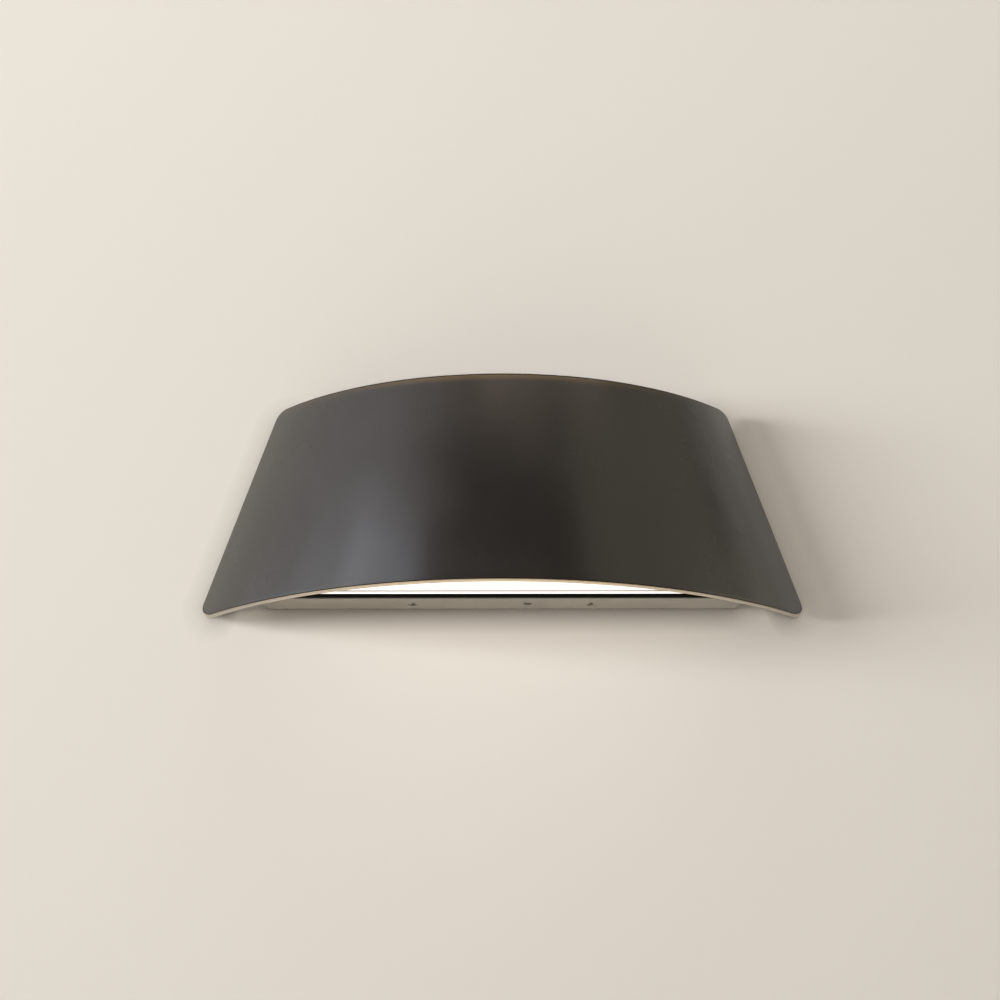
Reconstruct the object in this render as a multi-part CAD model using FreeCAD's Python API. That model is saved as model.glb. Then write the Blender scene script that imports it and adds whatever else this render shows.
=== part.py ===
import FreeCAD, Part
import math
import os

os.makedirs("parts", exist_ok=True)
Vector = FreeCAD.Vector
UP = Vector(0, 0, 1)
DOWN = Vector(0, 0, -1)
TO_WALL = Vector(0, 1, 0)
TO_ROOM = Vector(0, -1, 0)
ACROSS = Vector(1, 0, 0)
NEAR = 0.02  # how close an edge lies to where it is looked for

# All sizes are in millimetres. The wall is the plane y = 0 and the light stands out from it towards -Y.
# The origin is the middle of the wall plate's back face.

# Shade: a curved plate whose lower and upper edges are similar arcs
SHADE_FOOT_WIDTH = 276.0  # chord of the lower edge between its sharp corners
SHADE_TOP_WIDTH = 207.6  # chord of the upper edge
SHADE_HEIGHT = 100.0
SHADE_BOW = 66.0  # how far the lower edge bulges from the line between its ends
SHADE_WALL = 4.0
SHADE_CORNER = 6.0  # corner rounding seen from the front
CORNER_STEPS = 8  # flats along each rounded corner
SHADE_EDGE = 0.8  # rounding of the outer rim
WALL_GAP = 5.0  # between the wall and the shade's outer side edges
SHADE_DROP = 6.3  # how far the shade hangs below the housing
RIB_WIDTH = 9.0
RIB_GAP = 2.0  # between the light tray and the ribs
SHADE_SCREW_INSET = 8.0  # from a rib's foot, and from the housing's ceiling, to a screw
SHADE_SCREW_BITE = 10.0

# Top cover
COVER_THICKNESS = 2.0
COVER_RECESS = 5.0  # below the shade's upper edge
COVER_GAP = 0.6  # all round, to the shade
COVER_TIP_CUT = 4.0  # takes the thin tips off the cover's two back corners
COVER_SCREW_BITE = 7.0

# Housing: a shallow box, open to the wall
HOUSING_DEPTH = 21.0  # from the wall to its front face
HOUSING_WALL = 3.0
HOUSING_FRONT = 3.0
HOUSING_CORNER = 4.0
HOUSING_INNER_CORNER = 1.0
HOUSING_EDGE = 1.4
HOUSING_SIDE_GAP = 5.1  # between its front corners and the shade
GASKET_THICKNESS = 1.5
GASKET_INSET = 0.3
DRAIN_RADIUS = 1.8
DRAIN_X = 11.5

# Wall plate
PLATE_WIDTH = 104.0
PLATE_THICKNESS = 1.5
PLATE_BEND = 1.2  # outside rounding of its bends
PLATE_CORNER = 3.0
PLATE_TOP_GAP = 0.3  # between its top flange and the housing's ceiling
PLATE_FOOT_GAP = 3.5  # between its foot tabs and the housing's floor
FLANGE_DEPTH = 13.0
TAB_WIDTH = 24.0
SLOT_SPACING = 72.0
SLOT_LENGTH = 14.0
SLOT_WIDTH = 5.2
CABLE_RADIUS = 4.0
GROMMET_WALL = 2.5
GROMMET_LIP = 2.0
GROMMET_LIP_DEPTH = 2.5
GROMMET_PLAY = 0.1
GROMMET_ROUND = 0.8

# Fixing screws: set screws in the housing's floor that clamp on the foot tabs
FIXING_SPACING = 80.0
FIXING_FROM_WALL = 8.5
FIXING_SINK = 0.3  # below flush
FIXING_TIP_GAP = 0.05
FIXING_SOCKET = 1.1
FIXING_TAPER = 0.5
FIXING_SOCKET_DEPTH = 2.5

# Screws
M4_RADIUS = 2.0
M4_HEAD_RADIUS = 4.0
M4_HEAD_HEIGHT = 2.4
M3_RADIUS = 1.5
M3_HEAD_RADIUS = 2.8
M3_HEAD_HEIGHT = 1.9
HEAD_ROUND = 0.7
DRIVE_WIDTH = 0.9
DRIVE_SHARE = 0.6  # of the head's radius and height
THREAD_PLAY = 0.05
HOLE_PLAY = 0.25
BLIND_END = 0.5  # what a blind hole leaves past the screw's tip

# Light tray
TRAY_WIDTH = 184.0
TRAY_HEIGHT = 24.0
TRAY_WALL = 2.5
TRAY_BACK = 5.0
TRAY_CEILING = 4.0
TRAY_GAP = 2.0  # to the shade
TRAY_SCREW_INSET = 4.5  # from the tray's end to a screw
TRAY_SCREW_RISE = 6.0  # from the tray's rim to a screw
DIFFUSER_RISE = 1.5  # the diffuser's lower face above the housing's underside
DIFFUSER_FLANGE = 1.5
DIFFUSER_PANEL = 2.0
DIFFUSER_STEP = 0.5  # the panel lies this much above the flange's lower face
FLANGE_WIDTH = 3.6  # of the flange's lower face, round the panel
DIFFUSER_PLAY = 0.2  # to the housing's front
SPIGOT_WALL = 1.6
SPIGOT_HEIGHT = 3.0
SPIGOT_PLAY = 0.3
SEAL_THICKNESS = 0.8
SEAL_INSET = 0.2
REFLECTOR_WALL = 1.2
REFLECTOR_PLAY = 0.3

# Light source
LED_COUNT = 12
LED_PITCH = 9.5
LED_LENGTH = 3.5
LED_WIDTH = 2.8
LED_HEIGHT = 0.8
BOARD_END = 9.75  # from the last light source to the board's end
BOARD_WIDTH = 10.0
BOARD_THICKNESS = 1.6
BOARD_FROM_HOUSING = 8.0
BOARD_SCREW_INSET = 4.0
PAD_THICKNESS = 0.5

# Driver
DRIVER_LENGTH = 60.0
DRIVER_WIDTH = 28.0
DRIVER_HEIGHT = 12.0
DRIVER_ROUND = 1.5
DRIVER_TOP_GAP = 1.5  # to the wall plate's top flange
EAR_LENGTH = 7.0
EAR_WIDTH = 8.0
EAR_THICKNESS = 2.0

# Terminal block
POLE_PITCH = 8.0
POLE_END = 6.0  # from the outer poles to the block's ends
BLOCK_WIDTH = 18.0
BLOCK_HEIGHT = 12.0
BLOCK_DROP = 5.0  # below the heads of the lower shade screws
ENTRY_RADIUS = 1.3
ENTRY_DEPTH = 7.0
BUTTON_WIDTH = 4.6
BUTTON_LENGTH = 7.0
BUTTON_STAND = 2.0  # how far it stands out, which is also its travel
BUTTON_GUIDE = 4.0  # length inside the block at rest
BUTTON_PLAY = 0.2
CONTACT_WIDTH = 4.0
CONTACT_THICKNESS = 1.2
CONTACT_END = 2.0  # from the block's sides
CONTACT_PLAY = 0.1
BUTTON_ROUND = 0.4

# Leads and earth
LEAD_RADIUS = 1.0
LEAD_HEIGHT = 3.5  # of the leads' centre lines above the housing's front wall
LEAD_BEND = 6.0
LEAD_OFFSET = 5.0  # of the upper lead of a pair below the driver's middle
LEAD_PITCH = 4.0
LEAD_GAP = 4.0  # from the terminal's nearest lead to the shade screws' heads
LED_LEAD_RADIUS = 0.8
LED_LEAD_BEND = 3.0
LED_LEAD_PITCH = 2.4
LED_LEAD_RUN = 5.0  # from the driver's end to the first lead's drop
LEAD_ROOM = 15.0  # from the driver's end to the middle of a rib
WIRE_GROMMET_WALL = 1.2
WIRE_GROMMET_LIP = 1.2
EARTH_RISE = 18.0  # of the earth screw above the terminal block
EARTH_BOSS_RADIUS = 4.5
EARTH_BOSS_HEIGHT = 3.0
TAG_THICKNESS = 0.8
TAG_RADIUS = 4.2
TAG_BARREL_WALL = 0.6
TAG_BARREL_LENGTH = 6.0
TAG_NECK = 1.5  # between its ring and barrel

# Levels and faces that follow from the sizes
housing_height = SHADE_HEIGHT - SHADE_DROP - COVER_RECESS - COVER_THICKNESS
housing_foot = -housing_height / 2
housing_top = housing_height / 2
shade_foot = housing_foot - SHADE_DROP
shade_top = shade_foot + SHADE_HEIGHT
front_face = -HOUSING_DEPTH
front_inside = front_face + HOUSING_FRONT
floor = housing_foot + HOUSING_WALL
ceiling = housing_top - HOUSING_WALL
plate_top = ceiling - PLATE_TOP_GAP
plate_foot = floor + PLATE_FOOT_GAP
diffuser_foot = housing_foot + DIFFUSER_RISE
flange_top = diffuser_foot + DIFFUSER_FLANGE
tray_rim = flange_top + SEAL_THICKNESS
tray_top = tray_rim + TRAY_HEIGHT
tray_ceiling = tray_top - TRAY_CEILING
tray_inside = front_face - TRAY_BACK
pad_foot = tray_ceiling - PAD_THICKNESS
board_foot = pad_foot - BOARD_THICKNESS
board_length = (LED_COUNT - 1) * LED_PITCH + 2 * BOARD_END
board_y = tray_inside - BOARD_FROM_HOUSING
rib_foot = tray_top + RIB_GAP
rib_x = DRIVER_LENGTH / 2 + LEAD_ROOM
shade_screw_levels = (rib_foot + SHADE_SCREW_INSET, ceiling - SHADE_SCREW_INSET)
tray_screw_x = TRAY_WIDTH / 2 - TRAY_SCREW_INSET
tray_screw_z = tray_rim + TRAY_SCREW_RISE
driver_z = plate_top - PLATE_THICKNESS - DRIVER_TOP_GAP - DRIVER_WIDTH / 2
lead_y = front_inside + LEAD_HEIGHT
lead_levels = (driver_z - LEAD_OFFSET, driver_z - LEAD_OFFSET - LEAD_PITCH)
block_top = shade_screw_levels[0] - M4_HEAD_RADIUS - BLOCK_DROP
block_foot = block_top - BLOCK_WIDTH
block_middle = (block_foot + block_top) / 2
block_back = front_inside + BLOCK_HEIGHT
block_x = -(rib_x + M4_HEAD_RADIUS + LEAD_GAP + POLE_PITCH)
pole_x = [block_x + step * POLE_PITCH for step in (-1, 0, 1)]
block_length = 2 * POLE_PITCH + 2 * POLE_END
earth_z = block_top + EARTH_RISE
earth_seat = front_inside + EARTH_BOSS_HEIGHT
led_lead_x = [DRIVER_LENGTH / 2 + LED_LEAD_RUN + step * LED_LEAD_PITCH for step in (1, 0)]
wire_grommet_x = sum(led_lead_x) / 2
wire_grommet_z = (tray_rim + tray_ceiling) / 2
wire_bore = LED_LEAD_PITCH / 2 + LED_LEAD_RADIUS + HOLE_PLAY


def box(x0, x1, y0, y1, z0, z1):
    return Part.makeBox(x1 - x0, y1 - y0, z1 - z0, Vector(x0, y0, z0))


def rod(radius, start, direction, length):
    return Part.makeCylinder(radius, length, start, direction)


def fuse(shapes):
    return shapes[0].multiFuse(shapes[1:]).removeSplitter() if len(shapes) > 1 else shapes[0]


def both_sides(x):
    return (-x, x)


def edges_along(shape, direction):
    """The straight edges of a shape that run along a direction."""
    found = []
    for edge in shape.Edges:
        if edge.Curve.TypeId == "Part::GeomLine" and edge.Curve.Direction.cross(direction).Length < NEAR:
            found.append(edge)
    return found


def edges_at(edges, axis, level):
    """Those of some edges that lie in the plane where one coordinate has a given value."""
    found = []
    for edge in edges:
        limits = edge.BoundBox
        low = (limits.XMin, limits.YMin, limits.ZMin)[axis]
        high = (limits.XMax, limits.YMax, limits.ZMax)[axis]
        if abs(low - level) < NEAR and abs(high - level) < NEAR:
            found.append(edge)
    return found


def shade_arc(z):
    """Radius and centre of the shade's outer arc at a level, as (radius, centre y)."""
    width = SHADE_FOOT_WIDTH + (SHADE_TOP_WIDTH - SHADE_FOOT_WIDTH) * (z - shade_foot) / SHADE_HEIGHT
    bow = SHADE_BOW * width / SHADE_FOOT_WIDTH
    radius = ((width / 2) ** 2 + bow**2) / (2 * bow)
    return radius, radius - bow - WALL_GAP


def half_chord(z, inset, y):
    """Half the width of the shade's arc, drawn in by an inset, where it crosses a plane along the wall."""
    radius, centre = shade_arc(z)
    return math.sqrt((radius - inset) ** 2 - (centre - y) ** 2)


def around(radius, centre, angle, z):
    """The point at a radius and an angle from the nose, about an axis of the shade at a level."""
    return Vector(radius * math.sin(angle), centre - radius * math.cos(angle), z)


def arc_edge(radius, centre, angle, z):
    """An arc about an axis of the shade at a level, as far to both sides of its nose as an angle."""
    return Part.Arc(*[around(radius, centre, turn, z) for turn in (-angle, 0, angle)]).toShape()


def corner_points(inner_angle):
    """Points of a rounded corner, from a level edge to the side: (height over the edge, way from the side)."""
    points = []
    for step in range(CORNER_STEPS + 1):
        turn = (math.pi - inner_angle) * step / CORNER_STEPS
        height = SHADE_CORNER * (1 - math.cos(turn))
        along = SHADE_CORNER / math.tan(inner_angle / 2) - SHADE_CORNER * math.sin(turn)
        points.append((height, along - height / math.tan(inner_angle)))
    return points


def rim_inset(height):
    """How far the rounded rim lies inside the shade's outer face, at a height over its level edge."""
    short = max(SHADE_EDGE - height, 0)
    return SHADE_EDGE - math.sqrt(SHADE_EDGE**2 - short**2)


def plate_outline(z, height, draw_in):
    """Outline of the shade's plate at a level: two arcs about one centre, square ends and a rounded rim."""
    radius, centre = shade_arc(z)
    angle = math.asin((half_chord(z, 0, -WALL_GAP) - draw_in) / radius)
    inner = radius - SHADE_WALL
    radius -= rim_inset(height)
    shoulder = radius - SHADE_EDGE
    arc_end = angle - SHADE_EDGE / radius
    ends = []
    for side in (-1, 1):
        start = around(radius, centre, side * arc_end, z)
        stop = around(shoulder, centre, side * angle, z)
        pivot = around(shoulder, centre, side * arc_end, z)
        middle = pivot + ((start - pivot) + (stop - pivot)).normalize() * SHADE_EDGE
        back = around(inner, centre, side * angle, z)
        ends.append([Part.Arc(start, middle, stop).toShape(), Part.makeLine(stop, back)])
    front = arc_edge(radius, centre, arc_end, z)
    behind = arc_edge(inner, centre, angle, z)
    return Part.Wire([front, *ends[1], behind, *reversed(ends[0])])


def make_plate():
    """The curved plate, through level sections that are close together along its rounded corners."""
    side_angle = math.atan2(SHADE_HEIGHT, (SHADE_FOOT_WIDTH - SHADE_TOP_WIDTH) / 2)
    foot_points = corner_points(side_angle)
    top_points = corner_points(math.pi - side_angle)
    sections = [plate_outline(shade_foot + height, height, way) for height, way in foot_points]
    sections += [plate_outline(shade_top - height, height, way) for height, way in reversed(top_points)]
    return Part.makeLoft(sections, True, True)


def space_outline(z):
    """Outline at a level of the space behind the middle of the shade's plate."""
    radius, centre = shade_arc(z)
    inset = SHADE_WALL / 2
    angle = math.atan2(half_chord(z, inset, -WALL_GAP), centre + WALL_GAP)
    front = arc_edge(radius - inset, centre, angle, z)
    return Part.Wire([front, Part.makeLine(front.Vertexes[1].Point, front.Vertexes[0].Point)])


def shade_inside_y(x, z):
    """Where the shade's inner face lies at a place across and a level."""
    radius, centre = shade_arc(z)
    return centre - math.sqrt((radius - SHADE_WALL) ** 2 - x**2)


cover_screw_y = (front_face + shade_inside_y(rib_x, housing_top)) / 2


def make_shade():
    """The curved plate and the two ribs that carry it on the housing's front."""
    shape = make_plate()
    behind = Part.makeLoft([space_outline(z) for z in (shade_foot, shade_top)], True, True)
    reach = -WALL_GAP - SHADE_BOW
    for x in both_sides(rib_x):
        block = box(x - RIB_WIDTH / 2, x + RIB_WIDTH / 2, reach, front_face, rib_foot, housing_top)
        shape = shape.fuse(block.common(behind))
    for x in both_sides(rib_x):
        for z in shade_screw_levels:
            depth = SHADE_SCREW_BITE + BLIND_END
            shape = shape.cut(rod(M4_RADIUS + THREAD_PLAY, Vector(x, front_face, z), TO_ROOM, depth))
        start = Vector(x, cover_screw_y, housing_top)
        shape = shape.cut(rod(M4_RADIUS + THREAD_PLAY, start, DOWN, COVER_SCREW_BITE + BLIND_END))
    return shape


def pan_screw(seat, direction, radius, head_radius, head_height, length):
    """A pan head screw with a cross drive, its head on the seat and its shank along the direction."""
    top = Part.makeCylinder(head_radius, head_height)
    top = top.makeFillet(HEAD_ROUND, edges_at(top.Edges, 2, head_height))
    arm = head_radius * DRIVE_SHARE
    sink = head_height * DRIVE_SHARE
    for across, along in ((arm, DRIVE_WIDTH / 2), (DRIVE_WIDTH / 2, arm)):
        top = top.cut(box(-across, across, -along, along, head_height - sink, head_height))
    screw = top.fuse(rod(radius, Vector(0, 0, 0), DOWN, length))
    screw.Placement = FreeCAD.Placement(seat, FreeCAD.Rotation(DOWN, direction))
    return screw


def m4_screw(seat, direction, length):
    return pan_screw(seat, direction, M4_RADIUS, M4_HEAD_RADIUS, M4_HEAD_HEIGHT, length)


def m3_screw(seat, direction, length):
    return pan_screw(seat, direction, M3_RADIUS, M3_HEAD_RADIUS, M3_HEAD_HEIGHT, length)


def make_shade_screws():
    length = HOUSING_FRONT + SHADE_SCREW_BITE
    screws = []
    for x in both_sides(rib_x):
        for z in shade_screw_levels:
            screws.append(m4_screw(Vector(x, front_inside, z), TO_ROOM, length))
    return Part.makeCompound(screws)


def segment_prism(radius, centre, half_width, back, z0, z1):
    """Prism of a circle's segment: cut flat at its back and, square to that, at its two ends."""
    drum = Part.makeCylinder(radius, z1 - z0, Vector(0, centre, z0))
    return drum.common(box(-half_width, half_width, centre - 2 * radius, back, z0, z1))


def make_top_cover():
    level = housing_top + COVER_THICKNESS
    inset = SHADE_WALL + COVER_GAP
    radius, centre = shade_arc(level)
    half_width = half_chord(level, inset, -WALL_GAP) - COVER_TIP_CUT
    plate = segment_prism(radius - inset, centre, half_width, -WALL_GAP, housing_top, level)
    for x in both_sides(rib_x):
        start = Vector(x, cover_screw_y, housing_top)
        plate = plate.cut(rod(M4_RADIUS + HOLE_PLAY, start, UP, COVER_THICKNESS))
    return plate


def make_top_cover_screws():
    seat = housing_top + COVER_THICKNESS
    length = COVER_THICKNESS + COVER_SCREW_BITE
    seats = [Vector(x, cover_screw_y, seat) for x in both_sides(rib_x)]
    return Part.makeCompound([m4_screw(place, DOWN, length) for place in seats])


housing_foot_half = half_chord(housing_foot, SHADE_WALL, front_face) - HOUSING_SIDE_GAP
housing_top_half = half_chord(housing_top, SHADE_WALL, front_face) - HOUSING_SIDE_GAP
housing_lean = (housing_foot_half - housing_top_half) / housing_height


def housing_prism(inset, back, front, corner):
    """Prism of the housing's outline, drawn in by an inset, between two planes along the wall."""
    slant = inset * math.sqrt(1 + housing_lean**2)
    foot_half = housing_foot_half - housing_lean * inset - slant
    top_half = housing_top_half + housing_lean * inset - slant
    foot, top = housing_foot + inset, housing_top - inset
    corners = [(-foot_half, foot), (foot_half, foot), (top_half, top), (-top_half, top), (-foot_half, foot)]
    outline = Part.makePolygon([Vector(x, back, z) for x, z in corners])
    prism = Part.Face(outline).extrude(Vector(0, front - back, 0))
    return prism.makeFillet(corner, edges_along(prism, TO_WALL))


def driver_screw_places():
    reach = DRIVER_LENGTH / 2 + EAR_LENGTH / 2
    return [(x, driver_z) for x in both_sides(reach)]


def block_screw_places():
    reach = block_length / 2 + EAR_LENGTH / 2
    return [(block_x + x, block_middle) for x in both_sides(reach)]


def tray_screw_places():
    return [(x, tray_screw_z) for x in both_sides(tray_screw_x)]


def wire_hole(extra, y0, y1):
    """The hole for the light source's leads between two planes along the wall."""
    start = Vector(wire_grommet_x, y0, wire_grommet_z)
    return rod(wire_bore + extra, start, TO_WALL, y1 - y0)


def make_housing():
    shell = housing_prism(0, -GASKET_THICKNESS, front_face, HOUSING_CORNER)
    shell = shell.makeFillet(HOUSING_EDGE, edges_at(shell.Edges, 1, front_face))
    inner_corner = max(HOUSING_CORNER - HOUSING_WALL, HOUSING_INNER_CORNER)
    shell = shell.cut(housing_prism(HOUSING_WALL, 0, front_inside, inner_corner))
    boss_start = Vector(pole_x[0], front_inside - HOUSING_FRONT / 2, earth_z)
    shell = shell.fuse(rod(EARTH_BOSS_RADIUS, boss_start, TO_WALL, HOUSING_FRONT / 2 + EARTH_BOSS_HEIGHT))
    through = [(x, z) for x in both_sides(rib_x) for z in shade_screw_levels] + tray_screw_places()
    for x, z in through:
        shell = shell.cut(rod(M4_RADIUS + HOLE_PLAY, Vector(x, front_face, z), TO_WALL, HOUSING_FRONT))
    shell = shell.cut(wire_hole(WIRE_GROMMET_WALL + GROMMET_PLAY, front_face, front_inside))
    for x, z in driver_screw_places() + block_screw_places():
        depth = HOUSING_FRONT - BLIND_END
        shell = shell.cut(rod(M3_RADIUS + THREAD_PLAY, Vector(x, front_inside, z), TO_ROOM, depth))
    start = Vector(pole_x[0], earth_seat, earth_z)
    depth = EARTH_BOSS_HEIGHT + HOUSING_FRONT - BLIND_END
    shell = shell.cut(rod(M4_RADIUS + THREAD_PLAY, start, TO_ROOM, depth))
    for x in both_sides(FIXING_SPACING / 2):
        start = Vector(x, -FIXING_FROM_WALL, housing_foot)
        shell = shell.cut(rod(M4_RADIUS + THREAD_PLAY, start, UP, HOUSING_WALL))
    drain = Vector(DRAIN_X, (front_inside - GASKET_THICKNESS) / 2, housing_foot)
    return shell.cut(rod(DRAIN_RADIUS, drain, UP, HOUSING_WALL))


def make_wall_gasket():
    outer = housing_prism(GASKET_INSET, 0, -GASKET_THICKNESS, HOUSING_CORNER - GASKET_INSET)
    return outer.cut(housing_prism(HOUSING_WALL - GASKET_INSET, 0, -GASKET_THICKNESS, HOUSING_INNER_CORNER))


def slot_cutter(x):
    radius = SLOT_WIDTH / 2
    reach = SLOT_LENGTH / 2 - radius
    ends = [rod(radius, Vector(x + end, 0, 0), TO_ROOM, PLATE_THICKNESS) for end in both_sides(reach)]
    return fuse(ends + [box(x - reach, x + reach, -PLATE_THICKNESS, 0, -radius, radius)])


def make_wall_plate():
    half = PLATE_WIDTH / 2
    sheet = box(-half, half, -PLATE_THICKNESS, 0, plate_foot, plate_top)
    flange = box(-half, half, -FLANGE_DEPTH, 0, plate_top - PLATE_THICKNESS, plate_top)
    bent = [sheet, flange]
    for x in both_sides(FIXING_SPACING / 2):
        x0, x1 = x - TAB_WIDTH / 2, x + TAB_WIDTH / 2
        bent.append(box(x0, x1, -FLANGE_DEPTH, 0, plate_foot, plate_foot + PLATE_THICKNESS))
    plate = fuse(bent)
    plate = plate.makeFillet(PLATE_BEND, edges_at(edges_along(plate, ACROSS), 1, 0))
    plate = plate.makeFillet(PLATE_CORNER, edges_at(edges_along(plate, UP), 1, -FLANGE_DEPTH))
    for x in both_sides(SLOT_SPACING / 2):
        plate = plate.cut(slot_cutter(x))
    hole = CABLE_RADIUS + GROMMET_WALL + GROMMET_PLAY
    return plate.cut(rod(hole, Vector(0, 0, 0), TO_ROOM, PLATE_THICKNESS))


def make_cable_grommet():
    neck = rod(CABLE_RADIUS + GROMMET_WALL, Vector(0, 0, 0), TO_ROOM, PLATE_THICKNESS)
    lip_start = Vector(0, -PLATE_THICKNESS, 0)
    lip = rod(CABLE_RADIUS + GROMMET_WALL + GROMMET_LIP, lip_start, TO_ROOM, GROMMET_LIP_DEPTH)
    lip = lip.makeFillet(GROMMET_ROUND, edges_at(lip.Edges, 1, -PLATE_THICKNESS - GROMMET_LIP_DEPTH))
    bush = neck.fuse(lip)
    return bush.cut(rod(CABLE_RADIUS, Vector(0, 0, 0), TO_ROOM, PLATE_THICKNESS + GROMMET_LIP_DEPTH))


def make_fixing_screw(x):
    foot = housing_foot + FIXING_SINK
    tip = plate_foot - FIXING_TIP_GAP
    middle = Vector(x, -FIXING_FROM_WALL, foot)
    screw = rod(M4_RADIUS, middle, UP, tip - foot)
    screw = screw.makeChamfer(FIXING_TAPER, edges_at(screw.Edges, 2, tip))
    corners = []
    for step in range(7):
        turn = math.radians(60 * step)
        corners.append(Vector(math.cos(turn), math.sin(turn), 0) * FIXING_SOCKET + middle)
    return screw.cut(Part.Face(Part.makePolygon(corners)).extrude(UP * FIXING_SOCKET_DEPTH))


tray_radius = shade_arc(tray_top)[0] - SHADE_WALL - TRAY_GAP
tray_centre = shade_arc(tray_top)[1]


def tray_prism(inset, back, z0, z1):
    """Prism of the light tray's outline, drawn in by an inset, with its flat back in a given plane."""
    return segment_prism(tray_radius - inset, tray_centre, TRAY_WIDTH / 2 - inset, back, z0, z1)


def board_screw_places():
    return both_sides(board_length / 2 - BOARD_SCREW_INSET)


def make_light_tray():
    tray = tray_prism(0, front_face, tray_rim, tray_top)
    tray = tray.cut(tray_prism(TRAY_WALL, tray_inside, tray_rim, tray_ceiling))
    for x, z in tray_screw_places():
        depth = TRAY_BACK - BLIND_END
        tray = tray.cut(rod(M4_RADIUS + THREAD_PLAY, Vector(x, front_face, z), TO_ROOM, depth))
    for x in board_screw_places():
        depth = TRAY_CEILING - BLIND_END
        tray = tray.cut(rod(M3_RADIUS + THREAD_PLAY, Vector(x, board_y, tray_ceiling), UP, depth))
    return tray.cut(wire_hole(WIRE_GROMMET_WALL + GROMMET_PLAY, tray_inside, front_face))


def make_light_tray_screws():
    length = HOUSING_FRONT + TRAY_BACK - 2 * BLIND_END
    seats = [Vector(x, front_inside, z) for x, z in tray_screw_places()]
    return Part.makeCompound([m4_screw(place, TO_ROOM, length) for place in seats])


def make_wire_grommet():
    lip_back = front_inside + WIRE_GROMMET_LIP
    tube = wire_hole(WIRE_GROMMET_WALL, tray_inside, front_inside)
    lip = wire_hole(WIRE_GROMMET_WALL + WIRE_GROMMET_LIP, front_inside, lip_back)
    return tube.fuse(lip).cut(wire_hole(0, tray_inside, lip_back))


def board_layer(z0, z1):
    """A strip of the light source's board outline between two levels, with its screw holes."""
    half = board_length / 2
    strip = box(-half, half, board_y - BOARD_WIDTH / 2, board_y + BOARD_WIDTH / 2, z0, z1)
    for x in board_screw_places():
        strip = strip.cut(rod(M3_RADIUS + HOLE_PLAY, Vector(x, board_y, z0), UP, z1 - z0))
    return strip


def make_led_chips():
    first = -(LED_COUNT - 1) * LED_PITCH / 2
    chips = []
    for step in range(LED_COUNT):
        x = first + step * LED_PITCH
        x0, x1 = x - LED_LENGTH / 2, x + LED_LENGTH / 2
        y0, y1 = board_y - LED_WIDTH / 2, board_y + LED_WIDTH / 2
        chips.append(box(x0, x1, y0, y1, board_foot - LED_HEIGHT, board_foot))
    return Part.makeCompound(chips)


def make_led_board_screws():
    length = BOARD_THICKNESS + PAD_THICKNESS + TRAY_CEILING - 2 * BLIND_END
    seats = [Vector(x, board_y, board_foot) for x in board_screw_places()]
    return Part.makeCompound([m3_screw(place, UP, length) for place in seats])


spigot_top = flange_top + SPIGOT_HEIGHT


def make_reflector():
    foot = spigot_top + REFLECTOR_PLAY
    inset = TRAY_WALL + REFLECTOR_PLAY
    back = tray_inside - REFLECTOR_PLAY
    bowl = tray_prism(inset, back, foot, tray_ceiling)
    roof = tray_ceiling - REFLECTOR_WALL
    bowl = bowl.cut(tray_prism(inset + REFLECTOR_WALL, back - REFLECTOR_WALL, foot, roof))
    half_x = board_length / 2 + REFLECTOR_PLAY
    half_y = BOARD_WIDTH / 2 + REFLECTOR_PLAY
    bowl = bowl.cut(box(-half_x, half_x, board_y - half_y, board_y + half_y, foot, tray_ceiling))
    return bowl.cut(wire_hole(HOLE_PLAY, back - REFLECTOR_WALL, back))


def make_diffuser_seal():
    outer = tray_prism(SEAL_INSET, front_face - SEAL_INSET, flange_top, tray_rim)
    return outer.cut(tray_prism(TRAY_WALL - SEAL_INSET, tray_inside + SEAL_INSET, flange_top, tray_rim))


def make_diffuser():
    """An opal cover: a flange under the tray's rim, a panel a step higher and a spigot inside the rim."""
    flange = tray_prism(0, front_face - DIFFUSER_PLAY, diffuser_foot, flange_top)
    inset = TRAY_WALL + SPIGOT_PLAY
    spigot = tray_prism(inset, tray_inside - SPIGOT_PLAY, flange_top, spigot_top)
    cover = flange.fuse(spigot)
    panel_foot = diffuser_foot + DIFFUSER_STEP
    hollow_back = tray_inside - SPIGOT_PLAY - SPIGOT_WALL
    cover = cover.cut(tray_prism(inset + SPIGOT_WALL, hollow_back, panel_foot + DIFFUSER_PANEL, spigot_top))
    recess_back = front_face - DIFFUSER_PLAY - FLANGE_WIDTH
    return cover.cut(tray_prism(FLANGE_WIDTH, recess_back, diffuser_foot, panel_foot))


def ears(middle_x, reach, z):
    """Two flat ears at the ends of a piece on the housing's front wall, with their screw holes."""
    found = []
    for side in (-1, 1):
        inner, outer = middle_x + side * (reach - EAR_THICKNESS), middle_x + side * (reach + EAR_LENGTH)
        x0, x1 = min(inner, outer), max(inner, outer)
        ear = box(x0, x1, front_inside, front_inside + EAR_THICKNESS, z - EAR_WIDTH / 2, z + EAR_WIDTH / 2)
        hole = Vector(middle_x + side * (reach + EAR_LENGTH / 2), front_inside, z)
        found.append(ear.cut(rod(M3_RADIUS + HOLE_PLAY, hole, TO_WALL, EAR_THICKNESS)))
    return found


def ear_screws(places):
    seat = front_inside + EAR_THICKNESS
    length = EAR_THICKNESS + HOUSING_FRONT - 2 * BLIND_END
    return Part.makeCompound([m3_screw(Vector(x, seat, z), TO_ROOM, length) for x, z in places])


def make_led_driver():
    half, back = DRIVER_LENGTH / 2, front_inside + DRIVER_HEIGHT
    case = box(-half, half, front_inside, back, driver_z - DRIVER_WIDTH / 2, driver_z + DRIVER_WIDTH / 2)
    case = case.makeFillet(DRIVER_ROUND, edges_along(case, TO_WALL))
    case = case.makeFillet(DRIVER_ROUND / 2, edges_at(case.Edges, 1, back))
    return fuse([case] + ears(0, half, driver_z))


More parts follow.
